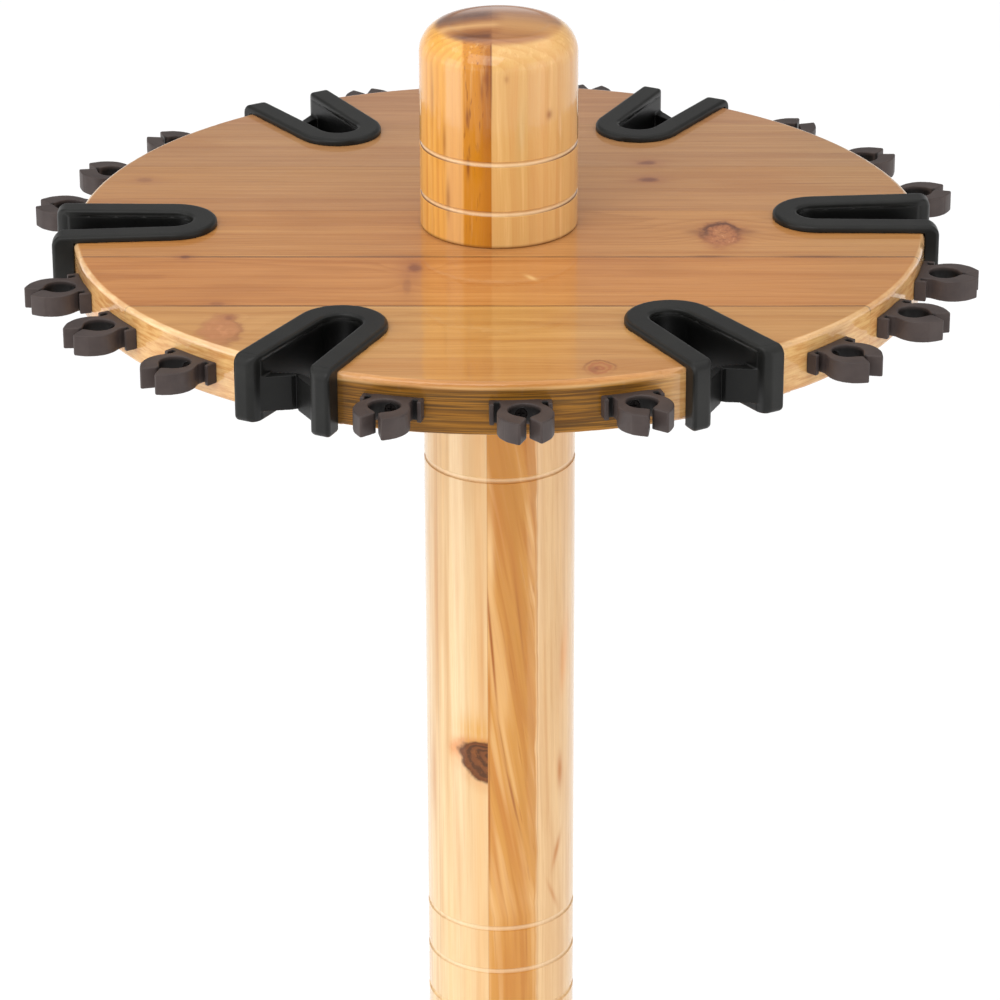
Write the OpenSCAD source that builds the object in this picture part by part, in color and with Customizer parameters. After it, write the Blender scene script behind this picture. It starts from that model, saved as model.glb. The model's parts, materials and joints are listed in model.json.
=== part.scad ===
// Free-standing round rack for twenty-four fishing rods.
// Origin: middle of the footprint on the floor, +Z up, -Y is the front. Millimetres.

/* [Post] */
// Diameter of the turned post
post_d = 74; // [68:0.1:76]
// Length of the post between the two big discs
post_len = 731; // [600:1:900]
// Distance from either end of the post to its single groove
end_groove = 94.5; // [60:0.5:140]
// Distance between neighbouring grooves in a band
groove_pitch = 24.6; // [18:0.1:30]
// Width of a groove at the surface
groove_w = 3; // [2:0.1:4]

/* [Rod disc] */
// Diameter of the upper disc that carries clips and slot inserts
disc_d = 406.4; // [396:0.2:416]
// Thickness of the upper disc
disc_t = 25.4; // [22:0.1:28]
// Radius of the rounded edges of the wooden discs
edge_r = 2.5; // [1:0.1:3.5]
// Turn of the whole clip and slot layout about the post, in degrees
layout_turn = 1.5; // [-5:0.1:5]

/* [Finial] */
// Diameter of the knob above the disc
finial_d = 75.4; // [70:0.1:78]
// Height of the knob
finial_h = 102; // [90:1:120]
// Radius of the knob's shoulder
finial_round = 14.5; // [8:0.5:18]
// Height of the lowest groove above the disc
finial_groove = 17.2; // [12:0.1:24]

/* [Slot insert] */
// Half width of the open slot at its round inner end
slot_r = 9.8; // [8.5:0.1:10.5]
// Distance from the rack's axis to the centre of the slot's round end
slot_c = 154.5; // [150:0.5:158]
// Wall thickness of the insert inside the disc
slot_wall = 3; // [2.5:0.1:3.5]
// Width of the flange that lies on the disc
flange_w = 11.7; // [9:0.1:12]
// Thickness of that flange
flange_t = 3.5; // [2:0.1:4]
// How far the two legs at the mouth stand out from the disc's edge
leg_out = 7.5; // [5:0.1:9]
// How far the legs and walls reach below the disc
leg_drop = 3.2; // [2.6:0.1:6]
// How far the six slots as a group sit to the right of the disc's centre
slot_dx = -1.8; // [-2:0.1:2]

/* [Rod clip] */
// Height of a clip
clip_h = 10; // [9:0.1:13]
// Outer diameter of the clip's ring
clip_od = 25.2; // [23.6:0.1:25.6]
// Diameter of the round part of its hole
clip_id = 14.4; // [13:0.1:15]
// Width of the slit between the jaws
clip_slit = 1.2; // [1:0.1:3]
// Length of the plate that sits on the disc's edge
clip_plate = 27.8; // [25:0.1:30]

/* [Base] */
// Diameter of the turning base disc that the rod butts stand on
base_d = 508; // [500:1:540]
// Thickness of that disc
base_t = 25.4; // [22:0.1:28]
// Diameter of the eighteen outer butt recesses
butt_d = 36.6; // [32:0.1:38]
// Diameter of the six inner butt recesses, under the slots
butt_big_d = 46; // [40:0.5:50]
// Diameter of the foot disc
foot_d = 400; // [390:1:430]
// Thickness of the foot disc
foot_t = 18; // [16:0.5:20]
// Height of the rubber feet
rubber_h = 8; // [7:0.5:10]

/* [Hidden] */
$fn = 64;
R = disc_d / 2;
bear_h = 9;
z_foot = rubber_h;
z_bear = z_foot + foot_t;
z_base = z_bear + bear_h;
z_post = z_base + base_t;
z_disc = z_post + post_len;
z_top = z_disc + disc_t;
fr = finial_d / 2;
pr = post_d / 2;
clip_mid = z_disc + disc_t / 2 - 0.1;
clip_c = 11.6;
// The clips are screwed on by hand: how far each one is off its even place, and how far its ring leans
clip_off = [0.3, 0.1, 0.3, 1.2, 0.5, 1.5, 2.9, 2.2, 0.9, 0.7, 0.1, 1, 0.2, 1.1, 0.1, 0.3, 0.8, 0.1];
clip_lean = [0, 0, 0, 0, 0, 0, 2, 2, 4, 6, 1, -3, -7, 7, 8, 2, 5, 4];
// How far each slot is off its even place, in degrees
slot_off = [0, 0, 0, 0, 1.65, -0.45];
// How much further in than its even place each slot is, in mm
slot_in = [0, 3, 3, 0, 0, 0];
rod_r = R + clip_c;
butt_in_r = 165;
ball_r = 3.175;
race_r = 110;
ball_z = z_bear + bear_h / 2;
flare = 3.2;
flange_flare = 2.8;
pad_t = 4;
recess = 7.5;

// Angle of clip number i (1 to 18): three clips, then a slot, all round
function clip_a(i) = layout_turn + 15 * (i + floor((i - 1) / 3));
// Angle at which that clip is really screwed on
function clip_at(i) = clip_a(i) + clip_off[i - 1];
// Angle of slot number i (1 to 6)
function slot_a(i) = layout_turn + 60 * (i - 1) + slot_off[i - 1];

// A round blank with rounded upper and lower edges
module round_blank(d, t, r) {
  rotate_extrude($fn = 128) {
    square([d / 2 - r, t]);
    translate([0, r]) square([d / 2, t - 2 * r]);
    translate([d / 2 - r, r]) circle(r);
    translate([d / 2 - r, t - r]) circle(r);
  }
}

// A groove turned into a round bar of radius r at height z
module groove(r, z) {
  rotate_extrude($fn = 96) translate([r + groove_w * 0.2, z]) circle(groove_w * 0.54);
}

// Half width at distance u of a slot that widens by b degrees a side from a round end of radius r.
// Its sides pass 0.02 mm inside the round end, so that they cross it clearly and don't just touch it.
function slot_half(r, b, u) = (r - 0.02) / cos(b) + tan(b) * (u - slot_c);

// Outline of such a slot, out to u
module slot_shape(r, b, u) {
  translate([slot_c, 0]) circle(r);
  polygon([[slot_c - r * sin(b), slot_half(r, b, slot_c - r * sin(b))], [u, slot_half(r, b, u)],
    [u, -slot_half(r, b, u)], [slot_c - r * sin(b), -slot_half(r, b, slot_c - r * sin(b))]]);
}

module finial() color([0.80, 0.55, 0.27]) translate([0, 0, z_top]) difference() {
  cap = 2;
  rs = ((fr - finial_round) * (fr - finial_round) + cap * cap) / (2 * cap);
  rotate_extrude($fn = 96) {
    translate([0, 0.8]) square([fr, finial_h - finial_round - cap - 0.8]);
    square([fr - 0.8, 2]);
    intersection() {
      translate([fr - 0.8, 0.8]) circle(0.8);
      translate([fr - 0.8, 0]) square([0.8, 0.8]);
    }
    intersection() {
      translate([fr - finial_round, finial_h - finial_round - cap]) circle(finial_round);
      translate([fr - finial_round, finial_h - finial_round - cap]) square(finial_round);
    }
    intersection() {
      translate([0, finial_h - rs]) circle(rs, $fn = 256);
      translate([0, finial_h / 2]) square([fr - finial_round, finial_h / 2]);
    }
  }
  for (k = [0:1]) groove(fr, finial_groove + k * groove_pitch);
  translate([0, 0, -1]) cylinder(d = 14, h = 23);
  translate([0, 0, -1]) cylinder(d = 10.6, h = 51);
}

module insert_nut() difference() {
  cylinder(d = 13.96, h = 22);
  translate([0, 0, -1]) cylinder(d = 10.06, h = 24);
  for (a = [0, 90]) rotate([0, 0, a]) translate([-10, -0.75, -1]) cube([20, 1.5, 2.5]);
}

module finial_insert_nut() color("goldenrod") translate([0, 0, z_top]) insert_nut();
module post_top_insert_nut() color("goldenrod") translate([0, 0, z_disc]) mirror([0, 0, 1]) insert_nut();
module post_bottom_insert_nut() color("goldenrod") translate([0, 0, z_post]) insert_nut();

module top_stud() color("silver") translate([0, 0, z_disc - 46]) {
  cylinder(d1 = 8, d2 = 10, h = 1);
  translate([0, 0, 1]) cylinder(d = 10, h = 44 + disc_t + 44);
  translate([0, 0, 45 + disc_t + 44]) cylinder(d1 = 10, d2 = 8, h = 1);
}

module top_disc() color([0.78, 0.58, 0.38]) translate([0, 0, z_disc]) difference() {
  round_blank(disc_d, disc_t, edge_r);
  for (i = [1:6]) translate([slot_dx, 0, -1]) rotate([0, 0, slot_a(i)]) translate([-slot_in[i - 1], 0, 0])
    linear_extrude(disc_t + 2) slot_shape(slot_r + slot_wall + 0.1, flare, R + 8);
  translate([0, 0, -1]) cylinder(d = 10.6, h = disc_t + 2);
  for (a = [0, 180]) rotate([0, 0, a]) translate([24, 0, -1]) cylinder(d = 8.06, h = 19.5);
  for (i = [1:18]) rotate([0, 0, clip_at(i)]) translate([R - 19, 0, clip_mid - z_disc])
    rotate([0, 90, 0]) cylinder(d = 3.06, h = 22, $fn = 24);
}

module top_dowels() color("burlywood") for (a = [0, 180]) rotate([0, 0, a])
  translate([24, 0, z_disc - 18]) cylinder(d = 8, h = 36);

module post() color([0.86, 0.66, 0.42]) translate([0, 0, z_post]) difference() {
  rotate_extrude($fn = 96) {
    square([pr - 0.8, post_len]);
    translate([0, 0.8]) square([pr, post_len - 1.6]);
    for (z = [0.8, post_len - 0.8]) translate([pr - 0.8, z]) circle(0.8);
  }
  for (z = [end_groove, post_len / 2 - groove_pitch, post_len / 2, post_len / 2 + groove_pitch, post_len - end_groove])
    groove(pr, z);
  for (m = [0, 1]) translate([0, 0, m * post_len]) mirror([0, 0, m]) {
    translate([0, 0, -1]) cylinder(d = 14, h = 23);
    translate([0, 0, -1]) cylinder(d = 10.6, h = 66);
    for (a = [0, 180]) rotate([0, 0, a]) translate([24, 0, -1]) cylinder(d = 8.06, h = 20);
  }
}

module base_dowels() color("burlywood") for (a = [0, 180]) rotate([0, 0, a])
  translate([24, 0, z_post - 18]) cylinder(d = 8, h = 36);

module base_bolt() color("silver") translate([0, 0, z_base + 1.6]) {
  cylinder(d = 18.5, h = 6.4, $fn = 6);
  cylinder(d = 10, h = 80);
}

module base_washer() color("silver") translate([0, 0, z_base + 8]) difference() {
  cylinder(d = 26, h = 2);
  translate([0, 0, -1]) cylinder(d = 10.6, h = 4);
}

module base_disc() color([0.78, 0.58, 0.38]) translate([0, 0, z_base]) difference() {
  round_blank(base_d, base_t, edge_r);
  translate([0, 0, -1]) cylinder(d = 30, h = 11);
  translate([0, 0, -1]) cylinder(d = 10.6, h = base_t + 2);
  for (a = [0, 180]) rotate([0, 0, a]) translate([24, 0, base_t - 18.5]) cylinder(d = 8.06, h = 20);
  for (i = [1:18]) rotate([0, 0, clip_a(i)]) translate([rod_r, 0, base_t - recess]) cylinder(d = butt_d, h = recess + 1);
  for (i = [1:6]) rotate([0, 0, slot_a(i)]) translate([butt_in_r, 0, base_t - recess]) cylinder(d = butt_big_d, h = recess + 1);
  for (a = [45:90:315]) rotate([0, 0, a]) translate([128, 0, -1]) cylinder(d = 4.06, h = 16, $fn = 24);
}

module butt_pads_outer() color([0.16, 0.16, 0.17]) for (i = [1:18]) rotate([0, 0, clip_a(i)])
  translate([rod_r, 0, z_post - recess]) cylinder(d = butt_d - 0.4, h = pad_t);

module butt_pads_inner() color([0.16, 0.16, 0.17]) for (i = [1:6]) rotate([0, 0, slot_a(i)])
  translate([butt_in_r, 0, z_post - recess]) cylinder(d = butt_big_d - 0.4, h = pad_t);

// Black moulded liner of one slot: flange, walls, two legs at the mouth, gate lips
module slot_insert(i) color([0.12, 0.12, 0.13]) translate([slot_dx, 0, z_top]) rotate([0, 0, slot_a(i)]) translate([-slot_in[i - 1], 0, 0]) {
  deep = disc_t + leg_drop;
  hw = slot_half(slot_r, flare, R);
  fw = slot_half(slot_r + flange_w, flange_flare, R);
  wall_end = R + 2.4 + slot_in[i - 1];
  // the disc's own centre, seen from here
  disc_at = [slot_in[i - 1] - slot_dx * cos(slot_a(i)), slot_dx * sin(slot_a(i)), 0];
  difference() {
    union() {
      // flange on the disc
      linear_extrude(flange_t) slot_shape(slot_r + flange_w, flange_flare, R + leg_out);
      // walls through the disc
      translate([0, 0, -deep]) linear_extrude(deep) slot_shape(slot_r + slot_wall, flare, wall_end);
      // bead that snaps under the disc
      translate([0, 0, -deep + 0.6]) linear_extrude(leg_drop - 0.7)
        slot_shape(slot_r + slot_wall + 1.6, flare, wall_end);
      // legs, their backs cut to the disc's edge
      difference() {
        for (s = [-1, 1]) translate([R - 6, s > 0 ? hw + 0.4 : -fw - 0.3, -deep])
          cube([leg_out + 6, fw - hw - 0.1, deep + 1]);
        translate(disc_at + [0, 0, -deep - 1]) cylinder(r = R + 0.1, h = deep + 1, $fn = 128);
      }
    }
    translate([0, 0, -deep - 1]) linear_extrude(deep + flange_t + 2) slot_shape(slot_r, flare, R + 20);
    // sloped upper corner of the legs
    translate([R + leg_out, 0, flange_t]) rotate([90, 0, 0]) linear_extrude(80, center = true)
      polygon([[-4.2, 0.01], [0.01, -5.2], [1, -5.2], [1, 1], [-4.2, 1]]);
    // sloped lower corner of the legs
    translate([R + leg_out, 0, -deep]) rotate([90, 0, 0]) linear_extrude(80, center = true)
      polygon([[-2.5, -0.01], [0.01, 2.5], [1, 2.5], [1, -1], [-2.5, -1]]);
    // inner corners of the legs, cut back towards the mouth
    for (s = [-1, 1]) translate([R + leg_out, s * (hw + 0.4), -deep - 1]) linear_extrude(deep + flange_t + 2)
      polygon([[0.5, -s], [0.5, s * 2.6], [0, s * 2.6], [-3.4, 0], [-3.4, -s]]);
  }
  // gate lips
  for (s = [-1, 1]) translate([0, 0, -24]) linear_extrude(16.4)
    polygon([[206, s * (hw + 1)], [198.6, s * (hw + 1)], [193.3, s * 1.8], [193, s * 0.4], [195.6, s * 0.4], [197.2, s * 1.6]]);
}

// Soft clip: plate on the disc's edge with its ends turned outwards, a neck, and a C-shaped ring
// whose jaws open outwards in a V
module rod_clip(i) color([0.30, 0.26, 0.25]) rotate([0, 0, clip_at(i)]) translate([R, 0, clip_mid - clip_h / 2])
difference() {
  linear_extrude(clip_h) difference() {
    union() {
      translate([-1, -clip_plate / 2]) square([3.6, clip_plate]);
      for (s = [-1, 1]) translate([1, s * (clip_plate / 2 - 1) - 1]) square([4.2, 2]);
      ring_lean(i) {
        polygon([[0, -9.2], [5, -9.2], [7, -9.7], [11, -11.4], [11, 11.4], [7, 9.7], [5, 9.2], [0, 9.2]]);
        translate([15.2, 0]) circle(clip_od / 2);
        polygon([[27.4, 5.4], [22.4, 9.5], [15.2, 6], [15.2, -6], [22.4, -9.5], [27.4, -5.4]]);
      }
    }
    ring_lean(i) {
      translate([clip_c, 0]) circle(clip_id / 2);
      // pointed throat, slit and V-shaped lead-in
      polygon([[clip_c + 5, 4.6], [20.6, 0.5], [20.6, -0.5], [clip_c + 5, -4.6]]);
      translate([clip_c, -clip_slit / 2]) square([11, clip_slit]);
      polygon([[20.9, 0.5], [28.6, 5.1], [28.6, -5.1], [20.9, -0.5]]);
    }
  }
  translate([-R, 0, -1]) cylinder(r = R + 0.03, h = clip_h + 2, $fn = 128);
  translate([-1, 0, clip_h / 2]) rotate([0, 90, 0]) cylinder(d = 3.3, h = 10, $fn = 24);
  // the screw's head is sunk below the rod's seat
  translate([1.9, 0, clip_h / 2]) rotate([0, 90, 0]) cylinder(d = 5.4, h = 6, $fn = 32);
}

// Turns the ring of clip number i about its neck
module ring_lean(i) translate([3, 0]) rotate(clip_lean[i - 1]) translate([-3, 0]) children();

module clip_screws() color("dimgray") for (i = [1:18]) rotate([0, 0, clip_at(i)]) translate([R, 0, clip_mid]) rotate([0, 90, 0]) {
  translate([0, 0, -18]) cylinder(d = 3, h = 20.5, $fn = 24);
  difference() {
    translate([0, 0, 2]) cylinder(d = 5, h = 1.8, $fn = 32);
    for (a = [0, 90]) rotate([0, 0, a]) translate([-1.6, -0.35, 2.9]) cube([3.2, 0.7, 2]);
  }
}

// Turntable bearing: the upper ring turns on a caged row of balls and is flared under the lower ring
module bearing_upper_plate() color("lightgray") translate([0, 0, z_bear]) difference() {
  rotate_extrude($fn = 96) difference() {
    polygon([[60, -2], [69, -2], [69, -0.4], [61.6, -0.4], [61.6, bear_h - 1.6], [142, bear_h - 1.6], [142, bear_h], [60, bear_h]]);
    translate([race_r, bear_h / 2]) circle(3.25);
  }
  for (a = [45:90:315]) rotate([0, 0, a]) translate([128, 0, 0]) cylinder(d = 4.4, h = 12, $fn = 24);
}

module bearing_lower_plate() color("lightgray") translate([0, 0, z_bear]) difference() {
  rotate_extrude($fn = 96) difference() {
    polygon([[62.4, 0], [142, 0], [142, 1.6], [62.4, 1.6]]);
    translate([race_r, bear_h / 2]) circle(3.25);
  }
  for (a = [0:90:270]) rotate([0, 0, a]) translate([128, 0, -1]) cylinder(d = 4.4, h = 4, $fn = 24);
  rotate([0, 0, 45]) translate([128, 0, -1]) cylinder(d = 16, h = 4);
}

module ball_cage() color("ivory") translate([0, 0, ball_z - 1.1]) difference() {
  cylinder(r = 116, h = 2.2, $fn = 128);
  translate([0, 0, -1]) cylinder(r = 104, h = 5, $fn = 128);
  for (a = [0:15:345]) rotate([0, 0, a]) translate([race_r, 0, -1]) cylinder(r = 3.3, h = 5, $fn = 32);
}

module bearing_balls() color("gainsboro") for (a = [0:15:345]) rotate([0, 0, a])
  translate([race_r, 0, ball_z]) sphere(ball_r, $fn = 32);

// Round-headed wood screw pointing up, head's underside at z = 0
module wood_screw(d, len, hd, hh) {
  cylinder(d = d, h = len, $fn = 24);
  difference() {
    translate([0, 0, -hh]) cylinder(d = hd, h = hh, $fn = 32);
    for (a = [0, 90]) rotate([0, 0, a]) translate([-hd * 0.32, -0.45, -hh - 1]) cube([hd * 0.64, 0.9, 1 + hh * 0.5]);
  }
}

module bearing_upper_screws() color("dimgray") for (a = [45:90:315]) rotate([0, 0, a])
  translate([128, 0, z_base - 1.6]) wood_screw(4, 15, 8, 2.4);

module bearing_lower_screws() color("dimgray") for (a = [0:90:270]) rotate([0, 0, a])
  translate([128, 0, z_bear + 1.6]) mirror([0, 0, 1]) wood_screw(4, 14, 8, 2.4);

module foot_disc() color([0.74, 0.54, 0.34]) translate([0, 0, z_foot]) difference() {
  round_blank(foot_d, foot_t, edge_r);
  translate([0, 0, -1]) cylinder(r = 72, h = foot_t + 2, $fn = 96);
  for (a = [0:90:270]) rotate([0, 0, a]) translate([128, 0, foot_t - 13]) cylinder(d = 4.06, h = 14, $fn = 24);
  rotate([0, 0, 45]) translate([128, 0, -1]) cylinder(d = 16, h = foot_t + 2);
  for (a = [30:60:330]) rotate([0, 0, a]) translate([foot_d / 2 - 22, 0, -1]) cylinder(d = 4.06, h = 15, $fn = 24);
}

module rubber_feet() color([0.1, 0.1, 0.1]) for (a = [30:60:330]) rotate([0, 0, a]) translate([foot_d / 2 - 22, 0, 0]) difference() {
  cylinder(d1 = 30, d2 = 34, h = rubber_h);
  translate([0, 0, -1]) cylinder(d = 10, h = 5);
  translate([0, 0, -1]) cylinder(d = 4.3, h = rubber_h + 2, $fn = 24);
}

module foot_screws() color("dimgray") for (a = [30:60:330]) rotate([0, 0, a])
  translate([foot_d / 2 - 22, 0, 4]) wood_screw(4, 16, 8, 2.4);

finial();
finial_insert_nut();
top_stud();
top_disc();
top_dowels();
post();
post_top_insert_nut();
post_bottom_insert_nut();
base_dowels();
base_bolt();
base_washer();
base_disc();
butt_pads_outer();
butt_pads_inner();
slot_insert(1);  // slot_insert_1
slot_insert(2);  // slot_insert_2
slot_insert(3);  // slot_insert_3
slot_insert(4);  // slot_insert_4
slot_insert(5);  // slot_insert_5
slot_insert(6);  // slot_insert_6
rod_clip(1);  // rod_clip_01
rod_clip(2);  // rod_clip_02
rod_clip(3);  // rod_clip_03
rod_clip(4);  // rod_clip_04
rod_clip(5);  // rod_clip_05
rod_clip(6);  // rod_clip_06
rod_clip(7);  // rod_clip_07
rod_clip(8);  // rod_clip_08
rod_clip(9);  // rod_clip_09
rod_clip(10);  // rod_clip_10
rod_clip(11);  // rod_clip_11
rod_clip(12);  // rod_clip_12
rod_clip(13);  // rod_clip_13
rod_clip(14);  // rod_clip_14
rod_clip(15);  // rod_clip_15
rod_clip(16);  // rod_clip_16
rod_clip(17);  // rod_clip_17
rod_clip(18);  // rod_clip_18
clip_screws();
bearing_upper_plate();
bearing_lower_plate();
ball_cage();
bearing_balls();
bearing_upper_screws();
bearing_lower_screws();
foot_disc();
rubber_feet();
foot_screws();
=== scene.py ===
import json
import math
import bpy
import bmesh
import numpy as np
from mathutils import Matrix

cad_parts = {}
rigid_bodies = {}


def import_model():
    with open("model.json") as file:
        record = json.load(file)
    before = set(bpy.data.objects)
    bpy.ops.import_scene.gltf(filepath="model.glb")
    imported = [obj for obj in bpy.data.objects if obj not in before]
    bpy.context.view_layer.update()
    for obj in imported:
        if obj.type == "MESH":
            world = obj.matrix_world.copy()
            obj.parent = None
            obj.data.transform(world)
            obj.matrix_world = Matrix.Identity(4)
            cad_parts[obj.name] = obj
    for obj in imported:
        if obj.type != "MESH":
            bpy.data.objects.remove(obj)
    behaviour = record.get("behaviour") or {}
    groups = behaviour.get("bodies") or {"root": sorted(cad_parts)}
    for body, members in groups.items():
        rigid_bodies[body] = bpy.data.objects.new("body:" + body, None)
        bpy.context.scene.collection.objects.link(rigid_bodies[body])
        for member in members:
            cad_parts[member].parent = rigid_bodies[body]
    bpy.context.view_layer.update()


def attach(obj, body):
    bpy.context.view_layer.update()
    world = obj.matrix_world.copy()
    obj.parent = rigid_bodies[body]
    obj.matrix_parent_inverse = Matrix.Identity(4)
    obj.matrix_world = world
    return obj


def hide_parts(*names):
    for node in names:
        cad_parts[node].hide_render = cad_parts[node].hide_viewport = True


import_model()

# ---------------------------------------------------------------- sizes in mm, as in the CAD source
DISC_D, DISC_T = 406.4, 25.4
R = DISC_D / 2
Z_POST, POST_LEN = 60.4, 731.0
Z_DISC, Z_TOP = 791.4, 816.8
LAYOUT = 1.5
SLOT_DX = -1.8
SLOT_OFF = [0, 0, 0, 0, 1.65, -0.45]
SLOT_IN = [0, 3, 3, 0, 0, 0]
CLIP_MID = Z_DISC + DISC_T / 2 - 0.1
CLIP_OFF = [0.3, 0.1, 0.3, 1.2, 0.5, 1.5, 2.9, 2.2, 0.9, 0.7, 0.1, 1.0, 0.2, 1.1, 0.1, 0.3, 0.8, 0.1]
CLIP_LEAN = [0, 0, 0, 0, 0, 0, 2, 2, 4, 6, 1, -3, -7, 7, 8, 2, 5, 4]


def clip_angle(i):
    return LAYOUT + 15 * (i + (i - 1) // 3) + CLIP_OFF[i - 1]


def slot_angle(i):
    return LAYOUT + 60 * (i - 1) + SLOT_OFF[i - 1]


# ---------------------------------------------------------------- camera and view
cam_data = bpy.data.cameras.new("photo_camera")
cam_data.lens = 163.9
cam_data.sensor_width = 36.0
cam_data.clip_start = 0.05
cam_data.clip_end = 100.0
cam = bpy.data.objects.new("photo_camera", cam_data)
bpy.context.scene.collection.objects.link(cam)
from mathutils import Matrix, Vector
cam.matrix_world = (Matrix.Translation((0.0001, -2.0476, 1.5792))
                    @ Matrix.Rotation(math.radians(66.074), 4, "X")
                    @ Matrix.Rotation(math.radians(-0.156), 4, "Z"))
bpy.context.scene.camera = cam
bpy.context.scene.view_settings.view_transform = "Standard"
bpy.context.scene.view_settings.look = "None"


# ---------------------------------------------------------------- node tools
def lin(r, g, b):
    def f(c):
        c /= 255.0
        return c / 12.92 if c <= 0.04045 else ((c + 0.055) / 1.055) ** 2.4
    return (f(r), f(g), f(b), 1.0)


class Nodes:
    """Short names for building a node tree. Sockets or plain numbers go in, sockets come out."""

    def __init__(self, tree):
        self.t = tree

    def _set(self, sock, v):
        if isinstance(v, bpy.types.NodeSocket):
            self.t.links.new(v, sock)
        elif v is not None:
            if sock.type == "RGBA" and isinstance(v, (int, float)):
                v = (v, v, v, 1.0)
            elif sock.type == "VECTOR" and isinstance(v, (int, float)):
                v = (v, v, v)
            sock.default_value = v

    def m(self, op, a, b=None, c=None, clamp=False):
        n = self.t.nodes.new("ShaderNodeMath")
        n.operation = op
        n.use_clamp = clamp
        for s, v in zip(n.inputs, (a, b, c)):
            self._set(s, v)
        return n.outputs[0]

    def add(self, a, b):
        return self.m("ADD", a, b)

    def sub(self, a, b):
        return self.m("SUBTRACT", a, b)

    def mul(self, a, b):
        return self.m("MULTIPLY", a, b)

    def div(self, a, b):
        return self.m("DIVIDE", a, b)

    def mad(self, a, b, c):
        return self.m("MULTIPLY_ADD", a, b, c)

    def sum(self, *vs):
        r = vs[0]
        for v in vs[1:]:
            r = self.add(r, v)
        return r

    def v(self, op, a, b=None, scale=None):
        n = self.t.nodes.new("ShaderNodeVectorMath")
        n.operation = op
        self._set(n.inputs[0], a)
        if b is not None:
            self._set(n.inputs[1], b)
        if scale is not None:
            self._set(n.inputs["Scale"], scale)
        return n.outputs[1] if op in ("LENGTH", "DISTANCE", "DOT_PRODUCT") else n.outputs[0]

    def vec(self, x, y, z):
        n = self.t.nodes.new("ShaderNodeCombineXYZ")
        for s, v in zip(n.inputs, (x, y, z)):
            self._set(s, v)
        return n.outputs[0]

    def xyz(self, v):
        n = self.t.nodes.new("ShaderNodeSeparateXYZ")
        self._set(n.inputs[0], v)
        return n.outputs[0], n.outputs[1], n.outputs[2]

    def noise(self, v, scale=1.0, detail=2.0, rough=0.5, dist=0.0, color=False):
        n = self.t.nodes.new("ShaderNodeTexNoise")
        n.noise_dimensions = "3D"
        self._set(n.inputs["Vector"], v)
        self._set(n.inputs["Scale"], scale)
        self._set(n.inputs["Detail"], detail)
        self._set(n.inputs["Roughness"], rough)
        self._set(n.inputs["Distortion"], dist)
        return n.outputs["Color"] if color else n.outputs["Fac"]

    def noise1(self, w, scale=1.0, detail=2.0, rough=0.5):
        n = self.t.nodes.new("ShaderNodeTexNoise")
        n.noise_dimensions = "1D"
        self._set(n.inputs["W"], w)
        self._set(n.inputs["Scale"], scale)
        self._set(n.inputs["Detail"], detail)
        self._set(n.inputs["Roughness"], rough)
        return n.outputs["Fac"]

    def white(self, w):
        n = self.t.nodes.new("ShaderNodeTexWhiteNoise")
        n.noise_dimensions = "1D"
        self._set(n.inputs["W"], w)
        return n.outputs["Value"]

    def voronoi(self, v, scale=1.0, feature="F1", rand=1.0, out="Distance"):
        n = self.t.nodes.new("ShaderNodeTexVoronoi")
        n.voronoi_dimensions = "3D"
        n.feature = feature
        self._set(n.inputs["Vector"], v)
        self._set(n.inputs["Scale"], scale)
        self._set(n.inputs["Randomness"], rand)
        return n.outputs[out]

    def mix(self, f, a, b, mode="MIX", clamp=False):
        n = self.t.nodes.new("ShaderNodeMix")
        n.data_type = "RGBA"
        n.blend_type = mode
        n.clamp_result = clamp
        self._set(n.inputs[0], f)
        self._set(n.inputs[6], a)
        self._set(n.inputs[7], b)
        return n.outputs[2]

    def mixf(self, f, a, b):
        n = self.t.nodes.new("ShaderNodeMix")
        n.data_type = "FLOAT"
        self._set(n.inputs[0], f)
        self._set(n.inputs[2], a)
        self._set(n.inputs[3], b)
        return n.outputs[0]

    def rng(self, x, a, b, c=0.0, d=1.0, smooth=True):
        n = self.t.nodes.new("ShaderNodeMapRange")
        n.interpolation_type = "SMOOTHSTEP" if smooth else "LINEAR"
        for s, v in zip(n.inputs[:5], (x, a, b, c, d)):
            self._set(s, v)
        return n.outputs[0]

    def ramp(self, f, stops, interp="LINEAR"):
        n = self.t.nodes.new("ShaderNodeValToRGB")
        n.color_ramp.interpolation = interp
        e = n.color_ramp.elements
        while len(e) < len(stops):
            e.new(0.5)
        for k, (p, c) in zip(e, stops):
            k.position = p
            k.color = c if isinstance(c, tuple) else (c, c, c, 1.0)
        self._set(n.inputs[0], f)
        return n.outputs[0]

    def hsv(self, col, h=0.5, s=1.0, v=1.0):
        n = self.t.nodes.new("ShaderNodeHueSaturation")
        self._set(n.inputs["Hue"], h)
        self._set(n.inputs["Saturation"], s)
        self._set(n.inputs["Value"], v)
        self._set(n.inputs["Color"], col)
        return n.outputs[0]

    def gauss(self, *terms):
        """exp(-sum(((x - c) / w)^2)) for terms (x, c, w)"""
        q = None
        for x, c, w in terms:
            d = self.mul(self.sub(x, c), 1.0 / w)
            d = self.mul(d, d)
            q = d if q is None else self.add(q, d)
        return self.m("EXPONENT", self.mul(q, -1.0))

    def bump(self, height, strength=0.3, distance=0.0005, normal=None):
        n = self.t.nodes.new("ShaderNodeBump")
        n.inputs["Strength"].default_value = strength
        n.inputs["Distance"].default_value = distance
        self._set(n.inputs["Height"], height)
        if normal is not None:
            self._set(n.inputs["Normal"], normal)
        return n.outputs[0]

    def coords(self):
        """Object coordinates in mm"""
        n = self.t.nodes.new("ShaderNodeTexCoord")
        return self.v("SCALE", n.outputs["Object"], scale=1000.0)


def material(name):
    mat = bpy.data.materials.new(name)
    mat.use_nodes = True
    t = mat.node_tree
    bsdf = next(n for n in t.nodes if n.type == "BSDF_PRINCIPLED")
    return mat, Nodes(t), bsdf


def link(mat, a, b):
    mat.node_tree.links.new(a, b)


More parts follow.
